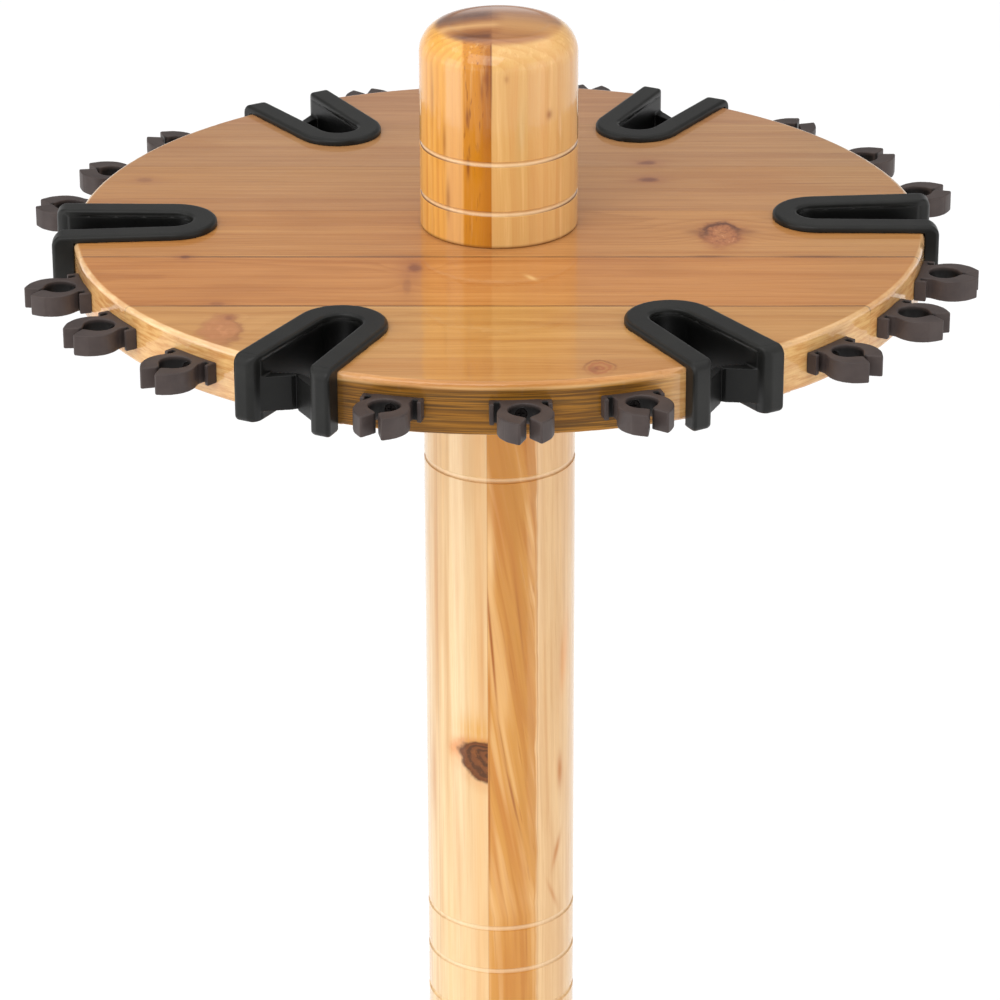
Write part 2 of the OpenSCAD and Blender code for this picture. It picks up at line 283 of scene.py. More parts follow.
# ---------------------------------------------------------------- wood
def wood_rings(g, along, a, b, seed, pith_a, pith_b, spacing, warp=1.0, lift=None):
    """Solid growth rings round a pith that runs along the grain: (latewood 0..1, ring number)"""
    s = g.add(seed, 0.37)
    p = g.vec(g.mad(along, 0.0045, g.mul(s, 7.1)), g.mul(a, 0.017), g.mad(b, 0.017, g.mul(s, 3.3)))
    w1 = g.mul(g.sub(g.noise(p, 1.0, 2.0, 0.5), 0.5), 34.0 * warp)
    p = g.vec(g.mad(along, 0.013, g.mul(s, 2.7)), g.mul(a, 0.07), g.mul(b, 0.07))
    w2 = g.mul(g.sub(g.noise(p, 1.0, 2.0, 0.5), 0.5), 7.0 * warp)
    p = g.vec(g.mad(along, 0.035, s), g.mul(a, 0.6), g.mul(b, 0.6))
    w3 = g.mul(g.sub(g.noise(p, 1.0, 2.0, 0.5), 0.5), 1.1 * warp)
    da, db = g.sub(a, pith_a), g.sub(b, pith_b)
    rho = g.m("SQRT", g.add(g.mul(da, da), g.mul(db, db)))
    rho = g.sum(rho, w1, w2, w3)
    if lift is not None:
        rho = g.add(rho, lift)
    rho = g.mad(g.sub(g.noise1(g.add(rho, g.mul(s, 91.0)), 0.11, 1.0), 0.5), spacing * 2.2, rho)
    t = g.m("FRACT", g.div(rho, spacing))
    late = g.mul(g.rng(t, 0.30, 0.93), g.sub(1.0, g.rng(t, 0.93, 1.0)))
    return late, g.m("FLOOR", g.div(rho, spacing))


def fibres(g, along, a, b, fine=1.0):
    """Fine streaks along the grain, 0..1"""
    p = g.vec(g.mul(along, 0.022), g.mul(a, 1.3 * fine), g.mul(b, 1.3 * fine))
    f1 = g.noise(p, 1.0, 3.0, 0.6)
    p = g.vec(g.mul(along, 0.07), g.mul(a, 4.5 * fine), g.mul(b, 4.5 * fine))
    f2 = g.noise(p, 1.0, 2.0, 0.6)
    return g.add(g.mul(f1, 0.6), g.mul(f2, 0.4))


def varnish(mat, g, bsdf, color, fib, late, coat=1.0, coat_rough=0.05, rough=0.42, bump=0.25, wave=0.0):
    link(mat, color, bsdf.inputs["Base Color"])
    link(mat, g.add(g.mul(fib, 0.18), rough - 0.09), bsdf.inputs["Roughness"])
    bsdf.inputs["Specular IOR Level"].default_value = 0.1
    g._set(bsdf.inputs["Coat Weight"], coat)
    bsdf.inputs["Coat Roughness"].default_value = coat_rough
    bsdf.inputs["Coat IOR"].default_value = 1.48
    h = g.add(g.mul(fib, 0.5), g.mul(late, 0.35))
    link(mat, g.bump(h, bump, 0.0002), bsdf.inputs["Normal"])
    # the varnish film has a soft orange-peel waviness
    co = g.coords()
    peel = g.noise(co, 0.09, 2.0, 0.5)
    fine = g.noise(co, 0.35, 2.0, 0.5)
    hc = g.add(g.mul(peel, 1.0 + wave), g.mul(fine, 0.05))
    link(mat, g.bump(hc, 0.16, 0.0005), bsdf.inputs["Coat Normal"])


# wood colours (sRGB)
BOARD_EARLY, BOARD_LATE = (198, 138, 80), (166, 105, 52)
RIM_PALE, RIM_DEEP = (236, 196, 132), (200, 144, 84)
RIM_FRONT, RIM_FRONT_DEEP = (140, 90, 14), (70, 42, 2)
POST_PALE, POST_WARM, POST_PEACH = (225, 195, 147), (199, 139, 56), (224, 187, 136)
POST_LATE, POST_STREAK = (180, 118, 42), (180, 112, 26)
KNOB_PALE, KNOB_GOLD, KNOB_DEEP, KNOB_LATE = (214, 169, 103), (230, 170, 80), (193, 123, 8), (184, 110, 34)
END_TAN, END_BROWN, END_PURPLE, END_PALE = (168, 108, 60), (122, 66, 32), (90, 46, 32), (222, 170, 112)


KNOTS_TOP = [
    # x, y, half length along the grain, half width, kind (0 ring, 1 smudge, 2 faint reddish rings, 3 soft patch, 4
    # painted glint on the varnish), strength
    (105.9, -19.0, 9.4, 17.5, 0, 1.0),
    (-126.0, -139.0, 10.5, 21.0, 3, 1.0),
    (-123.0, -125.0, 3.0, 4.5, 1, 0.55),
    (-129.5, -107.0, 5.0, 3.4, 1, 0.45),
    (-39.8, -62.0, 5.2, 8.5, 1, 0.95),
    (-42.5, -84.0, 3.0, 15.0, 1, 0.38),
    (73.8, 82.0, 6.6, 4.2, 1, 0.95),
    (73.1, 57.4, 6.6, 4.6, 1, 1.0),
    (-147.6, -46.8, 3.4, 3.2, 1, 0.85),
    (44.6, -186.0, 7.0, 9.5, 2, 1.25),
    (42.0, -187.0, 2.6, 5.0, 1, 0.45),
    (-173.8, 59.3, 6.0, 4.5, 1, 0.45),
    # a painted glint of light on the varnish
    (14.8, -75.0, 3.2, 3.6, 4, 0.55),
]


def board_wood(name, pitch=62.8, first=-47.93, tilt=0.0075, z_mid=804.1, knots=(), tone=1.0, turn=0.0,
               radius=R, top=Z_TOP, front_rim=0.0):
    """Edge-glued pine boards with the grain along X, under gloss varnish"""
    mat, g, bsdf = material(name)
    co = g.coords()
    x, y, z = g.xyz(co)
    if turn:
        c, s = math.cos(math.radians(turn)), math.sin(math.radians(turn))
        x, y = g.add(g.mul(x, c), g.mul(y, s)), g.sub(g.mul(y, c), g.mul(x, s))
    v = g.add(y, g.mul(x, tilt))
    w = g.div(g.sub(v, first), pitch)
    idn = g.m("FLOOR", w)
    fr = g.m("FRACT", w)
    rnd = g.white(g.add(idn, 11.5))
    rnd2 = g.white(g.add(idn, 47.25))
    a = g.mul(g.sub(fr, 0.5), pitch)
    b = g.sub(z, z_mid)
    pith_a = g.mul(g.sub(rnd, 0.5), 60.0)
    side = g.sub(g.mul(g.m("GREATER_THAN", rnd2, 0.5), 2.0), 1.0)
    pith_b = g.mul(side, g.add(g.mul(rnd2, 22.0), 40.0))
    lift = None
    for kx, ky, kl, kw, kind, st in knots:
        if kind == 4:
            continue
        e = g.mul(g.gauss((x, kx, kl * 2.8), (y, ky, kw * 0.95)), (6.5 if kind == 0 else 3.2) * st)
        lift = e if lift is None else g.add(lift, e)
    late, ring = wood_rings(g, x, a, b, g.mul(rnd, 20.0), pith_a, pith_b, 2.5, 0.34, lift)
    fib = fibres(g, x, v, z)
    # colour
    early, dark = lin(*BOARD_EARLY), lin(*BOARD_LATE)
    patch = g.noise(g.vec(g.mul(x, 0.004), g.mul(v, 0.030), g.mul(z, 0.05)), 1.0, 3.0, 0.55)
    band = g.noise(g.vec(g.mul(x, 0.0035), g.mul(v, 0.16), g.mul(z, 0.16)), 1.0, 3.0, 0.6)
    where = g.rng(patch, 0.36, 0.66, 0.25, 1.0)
    col = g.mix(g.mul(g.mul(late, where), g.add(0.24, g.mul(rnd, 0.26))), early, dark)
    col = g.mix(g.rng(fib, 0.38, 0.72, 0.0, 0.34), col, lin(150, 94, 42))
    col = g.mix(g.rng(fib, 0.36, 0.16, 0.0, 0.25), col, lin(222, 168, 104))
    col = g.mix(g.rng(band, 0.42, 0.72, 0.0, 0.40), col, lin(162, 96, 40))
    col = g.mix(g.rng(band, 0.46, 0.24, 0.0, 0.30), col, lin(214, 157, 94))
    # long thin resin streaks and short dark flecks along the grain
    fl = g.noise(g.vec(g.mul(x, 0.010), g.mul(v, 0.9), g.mul(z, 0.9)), 1.0, 1.0, 0.5)
    col = g.mix(g.rng(fl, 0.66, 0.80, 0.0, 0.40), col, lin(124, 72, 34))
    fl = g.noise(g.vec(g.mul(x, 0.05), g.mul(v, 1.6), g.mul(z, 1.6)), 1.0, 1.0, 0.5)
    col = g.mix(g.rng(fl, 0.72, 0.82, 0.0, 0.45), col, lin(112, 64, 34))
    # painted shade: the boards get darker and greyer step by step towards the back, where less light falls; each board
    # also varies a little at random
    col = g.hsv(col, g.add(0.497, g.mul(rnd2, 0.006)), g.rng(idn, -1.0, 2.0, 1.02, 0.92, smooth=False),
                g.mul(g.rng(idn, -2.0, 3.0, 1.0, 0.86, smooth=False), g.mul(tone, g.add(0.97, g.mul(rnd, 0.06)))))
    # the two front boards are yellower, the others a little darker and redder
    warm = g.rng(idn, -1.0, -2.0, smooth=False)
    aside = g.rng(g.m("ABSOLUTE", x), radius * 0.09, radius * 0.19)
    tint = g.mix(warm, (1.02, 1.02, 0.98, 1.0), g.mix(aside, (0.96, 1.07, 1.06, 1.0), (1.04, 1.21, 1.42, 1.0)))
    col = g.v("MULTIPLY", col, tint)
    col = g.v("MULTIPLY", col, g.mix(g.rng(x, -radius * 0.55, -radius * 0.78), (1.0, 1.0, 1.0, 1.0), (0.97, 0.94, 0.87, 1.0)))
    col = g.v("MULTIPLY", col, g.mix(g.gauss((x, 0.0, 62.0), (y, -118.0, 32.0)), (1.0, 1.0, 1.0, 1.0), (1.05, 1.12, 1.13, 1.0)))
    col = g.v("MULTIPLY", col, g.mix(g.rng(x, radius * 0.62, radius * 0.86), (1.0, 1.0, 1.0, 1.0), (0.94, 0.98, 1.01, 1.0)))
    # painted shade: the back of the disc a little darker, where less light falls
    col = g.v("MULTIPLY", col, g.mix(g.rng(y, 20.0, 80.0), (1.0, 1.0, 1.0, 1.0), (0.96, 0.97, 0.94, 1.0)))
    # broad darker and paler clouds
    cloud = g.noise(g.vec(g.mul(x, 0.012), g.mul(v, 0.022), 7.3), 1.0, 2.0, 0.5)
    col = g.mix(g.rng(cloud, 0.52, 0.74, 0.0, 0.26), col, lin(158, 96, 46))
    for kx, ky, kl, kw, kind, st in knots:
        wob = g.mul(g.sub(g.noise(g.vec(x, y, kx), 0.13, 3.0, 0.55), 0.5), 0.9)
        dx, dy = g.div(g.sub(x, kx), kl), g.div(g.sub(y, ky), kw)
        q = g.add(g.m("SQRT", g.add(g.mul(dx, dx), g.mul(dy, dy))), wob)
        if kind == 0:
            halo = g.mul(g.gauss((q, 0.70, 0.48)), 0.60 * st)
            col = g.mix(halo, col, lin(164, 92, 44))
            # the ring is broken: strong behind and left, nearly gone in front
            core = g.mul(g.sub(1.0, g.rng(q, 0.55, 1.15)), 0.50 * st)
            col = g.mix(core, col, lin(176, 106, 66))
            spot = g.noise(g.vec(g.mul(x, 0.42), g.mul(y, 0.26), kx), 1.0, 2.0, 0.6)
            col = g.mix(g.mul(core, g.rng(spot, 0.50, 0.66)), col, lin(116, 56, 28))
            col = g.mix(g.mul(core, g.rng(spot, 0.42, 0.30)), col, lin(226, 158, 110))
            part = g.rng(g.sub(dy, g.mul(dx, 0.15)), -0.55, 0.55, 0.12, 1.0)
            rim = g.mul(g.mul(g.gauss((q, 0.86, 0.17)), 0.92 * st), part)
            col = g.mix(rim, col, lin(92, 44, 16))
            # dark wings beside the arch
            wing = g.mul(g.gauss((g.sub(g.m("ABSOLUTE", dx), 0.0), 1.25, 0.55), (dy, 0.22, 0.22)), 0.50 * st)
            col = g.mix(wing, col, lin(122, 66, 30))
        elif kind == 3:
            body = g.mul(g.sub(1.0, g.rng(q, 0.55, 1.10)), 0.50 * st)
            col = g.mix(body, col, lin(170, 98, 66))
            edge = g.mul(g.mul(g.gauss((q, 0.85, 0.16)), 0.45 * st), g.rng(dx, -0.5, 0.9, 0.25, 1.0))
            col = g.mix(edge, col, lin(134, 74, 44))
            swirl = g.mul(g.sub(1.0, g.rng(q, 0.25, 0.75)), g.rng(g.noise(g.vec(g.mul(x, 0.20), g.mul(y, 0.11), 3.0), 1.0, 2.0, 0.5), 0.45, 0.65, 0.0, 0.5))
            col = g.mix(swirl, col, lin(208, 142, 96))
        elif kind == 4:
            # kind 4: a painted glint of light on the varnish
            col = g.mix(g.mul(g.gauss((g.add(dx, g.mul(dy, 0.6)), 0.0, 0.55), (dy, 0.0, 1.0)), st), col, lin(244, 206, 140))
        elif kind == 1:
            halo = g.mul(g.m("EXPONENT", g.mul(g.mul(q, q), -0.50)), 0.50 * st)
            col = g.mix(halo, col, lin(150, 84, 52))
            core = g.mul(g.sub(1.0, g.rng(q, 0.30, 0.95)), 0.62 * st)
            col = g.mix(core, col, lin(104, 52, 42))
        else:
            halo = g.mul(g.sub(1.0, g.rng(q, 0.35, 1.25)), 0.50 * st)
            ringy = g.add(0.62, g.mul(g.m("SINE", g.mul(q, 13.0)), 0.38))
            col = g.mix(g.mul(halo, ringy), col, lin(160, 78, 46))
            edge = g.mul(g.mul(g.gauss((q, 0.95, 0.10)), 0.40 * st), g.rng(dy, -0.6, 0.8, 0.1, 1.0))
            col = g.mix(edge, col, lin(110, 56, 34))
    # glue lines: a thin dark line, stronger in places, lost on the rim
    d = g.mul(g.m("MINIMUM", fr, g.sub(1.0, fr)), pitch)
    part = g.noise(g.vec(g.mul(x, 0.014), idn, 4.0), 1.0, 2.0, 0.5)
    line = g.mul(g.sub(1.0, g.rng(d, 0.22, 0.75)), g.rng(part, 0.38, 0.55, 0.36, 1.0))
    line = g.mul(line, g.rng(z, top - 5.0, top - 2.0, 0.25, 1.0))
    front = g.mul(g.rng(v, -30.0, 0.0, 1.0, 0.14), g.rng(v, -160.0, -145.0, 0.10, 1.0))
    col = g.mix(g.mul(line, front), col, lin(52, 28, 14))
    if front_rim:
        # resin eyes that follow the second glue line
        for x0, hw in ((148.0, 15.0), (-44.0, 22.0), (98.0, 8.0)):
            col = g.mix(g.mul(g.gauss((x, x0, hw), (g.sub(v, first), 0.5, 1.6)), 0.62), col, lin(112, 62, 30))
    # the edge: long grain and end grain drink more varnish
    rr = g.m("SQRT", g.add(g.mul(x, x), g.mul(y, y)))
    edge = g.mul(g.rng(rr, radius - 1.6, radius - 0.4), g.rng(z, top - 1.2, top - 3.4))
    lines = g.noise(g.vec(g.mul(x, 0.012), g.mul(y, 0.10), g.mul(z, 0.62)), 1.0, 3.0, 0.62)
    coat = 1.0
    lcol = g.mix(g.rng(lines, 0.34, 0.66), lin(*RIM_PALE), lin(*RIM_DEEP))
    col = g.mix(g.mul(edge, 0.55), col, lcol)
    # the rounded upper edge gets a painted pale highlight stripe, most of all at the two sides and strongest on the
    # left
    lip = g.mul(g.rng(rr, radius - 2.5, radius - 1.3), g.rng(z, top - 2.9, top - 1.6))
    painted_edge_highlight = g.mul(g.rng(g.m("ABSOLUTE", x), radius * 0.20, radius * 0.60), g.rng(x, -20.0, 20.0, 0.76, 0.44))
    painted_edge_highlight = g.mul(painted_edge_highlight, g.rng(lines, 0.30, 0.62, 1.0, 0.55))
    col = g.mix(g.mul(lip, painted_edge_highlight), col, lin(246, 212, 162))
    if front_rim:
        gold = g.mul(lip, g.mul(g.rng(y, -150.0, -185.0), g.rng(g.m("ABSOLUTE", x), 96.0, 60.0)))
        col = g.v("MULTIPLY", col, g.mix(gold, (1.0, 1.0, 1.0, 1.0), (0.94, 0.84, 0.64, 1.0)))
        # the front face of the rim is painted darker and streakier: partly the dense long grain of the front board,
        # partly painted shade for the weak light on that face
        f = g.mul(g.mul(edge, g.rng(z, top - 2.2, top - 4.2)), g.mul(g.mul(g.rng(x, -104.0, -90.0), g.rng(x, 88.0, 60.0)), g.rng(y, -120.0, -160.0)))
        thin = g.noise(g.vec(g.mul(x, 0.016), g.mul(y, 0.10), g.mul(z, 1.35)), 1.0, 2.0, 0.55)
        fcol = g.mix(g.rng(thin, 0.38, 0.64), lin(*RIM_FRONT), lin(*RIM_FRONT_DEEP))
        fcol = g.mix(g.rng(lines, 0.46, 0.66, 0.0, 0.55), fcol, lin(74, 44, 10))
        # painted shadow of insert 5's right leg on the rim beside it
        fcol = g.mix(g.mul(g.rng(x, -62.0, -76.0), 0.70), fcol, lin(40, 24, 6))
        fcol = g.v("MULTIPLY", fcol, g.mix(g.rng(x, 15.0, 50.0), (1.0, 1.0, 1.0, 1.0), (1.20, 1.24, 1.40, 1.0)))
        col = g.mix(g.mul(f, front_rim), col, fcol)
        coat = g.sub(1.0, g.mul(f, 0.8))
    varnish(mat, g, bsdf, col, fib, late, coat=coat)
    return mat


def spindle(g, x, zz, x0, z0, half_w, half_h, lean=0.0):
    """A thin streak that tapers to both ends, 0..1"""
    dx = g.sub(g.sub(x, x0), g.mul(g.sub(zz, z0), lean))
    return g.gauss((dx, 0.0, half_w), (zz, z0, half_h))


def post_wood(name):
    """Glued staves with the grain along Z, under gloss varnish"""
    mat, g, bsdf = material(name)
    co = g.coords()
    x, y, z = g.xyz(co)
    pitch, first = 24.5, -6.2
    zz = g.sub(z, Z_TOP)
    w = g.div(g.sub(x, first), pitch)
    idn = g.m("FLOOR", w)
    fr = g.m("FRACT", w)
    rnd = g.white(g.add(idn, 5.5))
    rnd2 = g.white(g.add(idn, 77.5))
    left = g.m("LESS_THAN", x, first)
    front = g.m("LESS_THAN", y, 0.0)
    xr = g.mad(g.sub(g.noise1(g.mul(zz, 0.035), 1.0, 2.0), 0.5), 2.4, x)
    right = g.rng(xr, 16.8, 19.6)
    mid = g.mul(g.rng(x, -6.3, -6.1, smooth=False), g.sub(1.0, right))
    # the grain of the middle stave runs down to the right
    slope = g.add(g.mul(mid, 0.17), g.add(g.mul(right, 0.04), g.mul(left, 0.012)))
    sway = g.mul(g.sub(g.noise(g.vec(0.0, idn, g.mul(zz, 0.006)), 1.0, 1.0, 0.5), 0.5), 9.0)
    c = g.sum(x, g.mul(slope, g.m("MAXIMUM", zz, -360.0)), g.mul(sway, g.add(0.25, g.mul(mid, 0.5))))
    late, ring = wood_rings(g, g.mul(zz, 0.5), c, y, g.add(g.mul(rnd, 20.0), 3.0), g.mul(g.sub(rnd, 0.5), 40.0),
                            g.add(38.0, g.mul(rnd2, 40.0)), 4.4, 0.22)
    fib = fibres(g, zz, c, y)
    st1 = g.noise(g.vec(g.mul(c, 0.24), g.mul(y, 0.24), g.mul(zz, 0.0065)), 1.0, 2.0, 0.5)
    st2 = g.noise(g.vec(g.mul(c, 0.80), g.mul(y, 0.80), g.mul(zz, 0.009)), 1.0, 2.0, 0.5)
    patch = g.noise(g.vec(g.mul(c, 0.085), g.mul(y, 0.085), g.mul(zz, 0.0075)), 1.0, 2.0, 0.5)
    base = g.mix(mid, lin(*POST_PALE), lin(*POST_WARM))
    base = g.mix(right, base, lin(*POST_PEACH))
    amt = g.add(0.20, g.mul(mid, 0.46))
    col = g.mix(g.mul(late, g.sub(0.16, g.mul(mid, 0.02))), base, lin(*POST_LATE))
    col = g.mix(g.mul(g.rng(st1, 0.50, 0.66), g.mul(amt, 1.05)), col, lin(*POST_STREAK))
    col = g.mix(g.mul(g.rng(st1, 0.47, 0.30), 0.42), col, lin(230, 190, 132))
    col = g.mix(g.mul(g.rng(st2, 0.60, 0.74), g.mul(amt, 0.75)), col, lin(166, 98, 20))
    col = g.mix(g.mul(g.rng(patch, 0.48, 0.64), g.mul(amt, 1.0)), col, lin(184, 122, 34))
    col = g.mix(g.mul(g.rng(patch, 0.46, 0.32), g.mul(mid, 0.55)), col, lin(226, 180, 118))
    col = g.mix(g.rng(fib, 0.42, 0.78, 0.0, 0.28), col, lin(190, 124, 62))
    # single streaks that catch the eye in front
    own = None
    for x0, z0, hw, hh, ln, stv, sel in (
            (-1.0, -142.0, 3.6, 24.0, -0.10, 0.62, mid), (7.6, -172.0, 2.0, 30.0, -0.12, 0.55, mid),
            (4.5, -395.0, 8.0, 30.0, 0.0, 0.45, mid), (-4.3, -206.0, 0.7, 30.0, -0.076, 0.98, mid),
            (-5.4, -236.0, 0.7, 20.0, 0.0, 0.85, mid), (1.5, -300.0, 1.6, 44.0, -0.19, 0.70, mid),
            (7.5, -320.0, 1.2, 36.0, -0.18, 0.60, mid), (-2.5, -325.0, 1.3, 34.0, -0.12, 0.60, mid),
            (12.5, -215.0, 1.8, 34.0, -0.14, 0.35, mid),
            (30.4, -221.0, 0.9, 14.0, 0.0, 0.45, right), (29.6, -284.0, 1.2, 9.0, 0.0, 0.95, right),
            (28.0, -328.0, 1.1, 8.0, 0.2, 0.85, right), (26.0, -352.0, 0.9, 8.0, -0.3, 0.55, right),
            (22.5, -250.0, 0.8, 60.0, -0.02, 0.35, right),
            (-33.5, -290.0, 1.3, 24.0, 0.0, 0.50, left), (-31.5, -180.0, 1.0, 60.0, 0.0, 0.45, left),
            (-9.0, -215.0, 1.2, 50.0, 0.0, 0.35, left)):
        e = g.mul(g.mul(spindle(g, x, zz, x0, z0, hw, hh, ln), stv), g.mul(sel, front))
        own = e if own is None else g.m("MAXIMUM", own, e)
    col = g.mix(own, col, lin(182, 110, 26))
    thin = None
    for x0, z0, hw, hh, ln, stv in ((-4.3, -206.0, 0.55, 30.0, -0.076, 0.92), (-5.6, -302.0, 0.45, 40.0, 0.0, 0.80),
                                    (6.2, -293.0, 0.55, 20.0, -0.195, 0.75), (1.0, -262.0, 0.45, 18.0, -0.16, 0.50),
                                    (9.6, -196.0, 0.60, 22.0, -0.10, 0.45)):
        e = g.mul(g.mul(spindle(g, x, zz, x0, z0, hw, hh, ln), stv), g.mul(mid, front))
        thin = e if thin is None else g.m("MAXIMUM", thin, e)
    col = g.mix(thin, col, lin(148, 78, 6))
    # the sapwood of the left stave runs over the glue line high up
    col = g.mix(g.mul(g.mul(spindle(g, x, zz, -4.9, -158.0, 2.0, 22.0, -0.02), 0.75), g.mul(mid, front)), col, lin(236, 196, 138))
    col = g.mix(g.mul(g.mul(spindle(g, x, zz, 31.6, -222.0, 1.6, 20.0, 0.05), 0.55), g.mul(right, front)), col, lin(222, 146, 66))
    col = g.mix(g.mul(g.mul(g.gauss((x, -10.0, 3.2)), 0.35), g.mul(left, front)), col, lin(224, 172, 108))
    # half a knot, cut off by the glue plane: flat above, tapering below
    wob = g.mul(g.sub(g.noise(co, 0.13, 3.0, 0.55), 0.5), 0.45)
    dx = g.m("ABSOLUTE", g.div(g.sub(x, -6.2), 14.6))
    dz = g.sub(zz, -268.4)
    up = g.mul(g.m("MAXIMUM", dz, 0.0), 1.0 / 7.4)
    down = g.mul(g.m("MAXIMUM", g.mul(dz, -1.0), 0.0), 1.0 / 17.6)
    q_up = g.m("POWER", g.add(g.m("POWER", dx, 2.8), g.m("POWER", up, 2.8)), 0.357)
    q_down = g.m("POWER", g.add(g.m("POWER", dx, 1.7), g.m("POWER", down, 1.7)), 0.588)
    q = g.mixf(g.m("GREATER_THAN", dz, 0.0), q_down, q_up)
    q = g.add(q, wob)
    on = g.mul(left, front)
    halo = g.mul(g.mul(g.gauss((q, 1.0, 0.26)), g.rng(dz, -8.0, 2.0, 0.25, 0.72)), on)
    col = g.mix(halo, col, lin(188, 108, 34))
    col = g.mix(g.mul(g.gauss((x, -13.0, 7.5), (zz, -256.0, 8.5)), g.mul(g.mul(on, 0.90), g.rng(st2, 0.36, 0.60, 0.45, 1.0))), col, lin(206, 146, 54))
    col = g.mix(g.mul(g.gauss((x, -22.8, 2.4), (zz, -268.5, 6.0)), g.mul(on, 0.38)), col, lin(226, 146, 66))
    core = g.mul(g.mul(g.sub(1.0, g.rng(q, 0.84, 1.04)), 0.96), on)
    rings = g.m("SINE", g.mul(q, 22.0))
    corec = g.mix(g.rng(rings, -0.6, 0.8), lin(110, 58, 24), lin(72, 34, 10))
    corec = g.mix(g.rng(q, 0.70, 0.95), corec, lin(80, 36, 6))
    corec = g.mix(g.rng(g.noise(co, 0.5, 2.0, 0.6), 0.5, 0.7, 0.0, 0.5), corec, lin(134, 74, 26))
    col = g.mix(core, col, corec)
    d = g.mul(g.m("MINIMUM", fr, g.sub(1.0, fr)), pitch)
    line = g.sub(1.0, g.rng(d, 0.05, 0.34))
    col = g.mix(g.mul(line, 0.30), col, lin(160, 100, 48))
    # painted highlight and painted shade in the grooves
    col = groove_painted_light(g, col, x, y, zz, [-119.9, -341.7, -366.3, -390.9, -661.9], 37.0, 0.46, 0.24, (246, 218, 178))
    col = g.hsv(col, 0.5, 1.0, g.add(0.97, g.mul(rnd2, 0.05)))
    varnish(mat, g, bsdf, col, fib, late, coat=g.sub(1.0, g.mul(core, 0.65)), coat_rough=0.11)
    return mat


def groove_painted_light(g, col, x, y, zz, heights, radius, amount, dark, pale, width=1.2):
    """Painted light in the turned grooves: a pale painted highlight on the lip, and a thin painted shade line that is
    lost in the middle
    """
    rr = g.m("SQRT", g.add(g.mul(x, x), g.mul(y, y)))
    side = g.rng(g.m("ABSOLUTE", x), radius * 0.30, radius * 0.85, 0.35, 1.0)
    for h in heights:
        d = g.sub(zz, h)
        inside = g.rng(rr, radius - 0.15, radius - 0.45)
        col = g.mix(g.mul(g.mul(inside, g.gauss((d, -0.2, width))), amount), col, lin(*pale))
        col = g.mix(g.mul(g.mul(inside, g.gauss((d, -1.35, 0.6))), g.mul(side, dark)), col, lin(104, 56, 18))
    return col


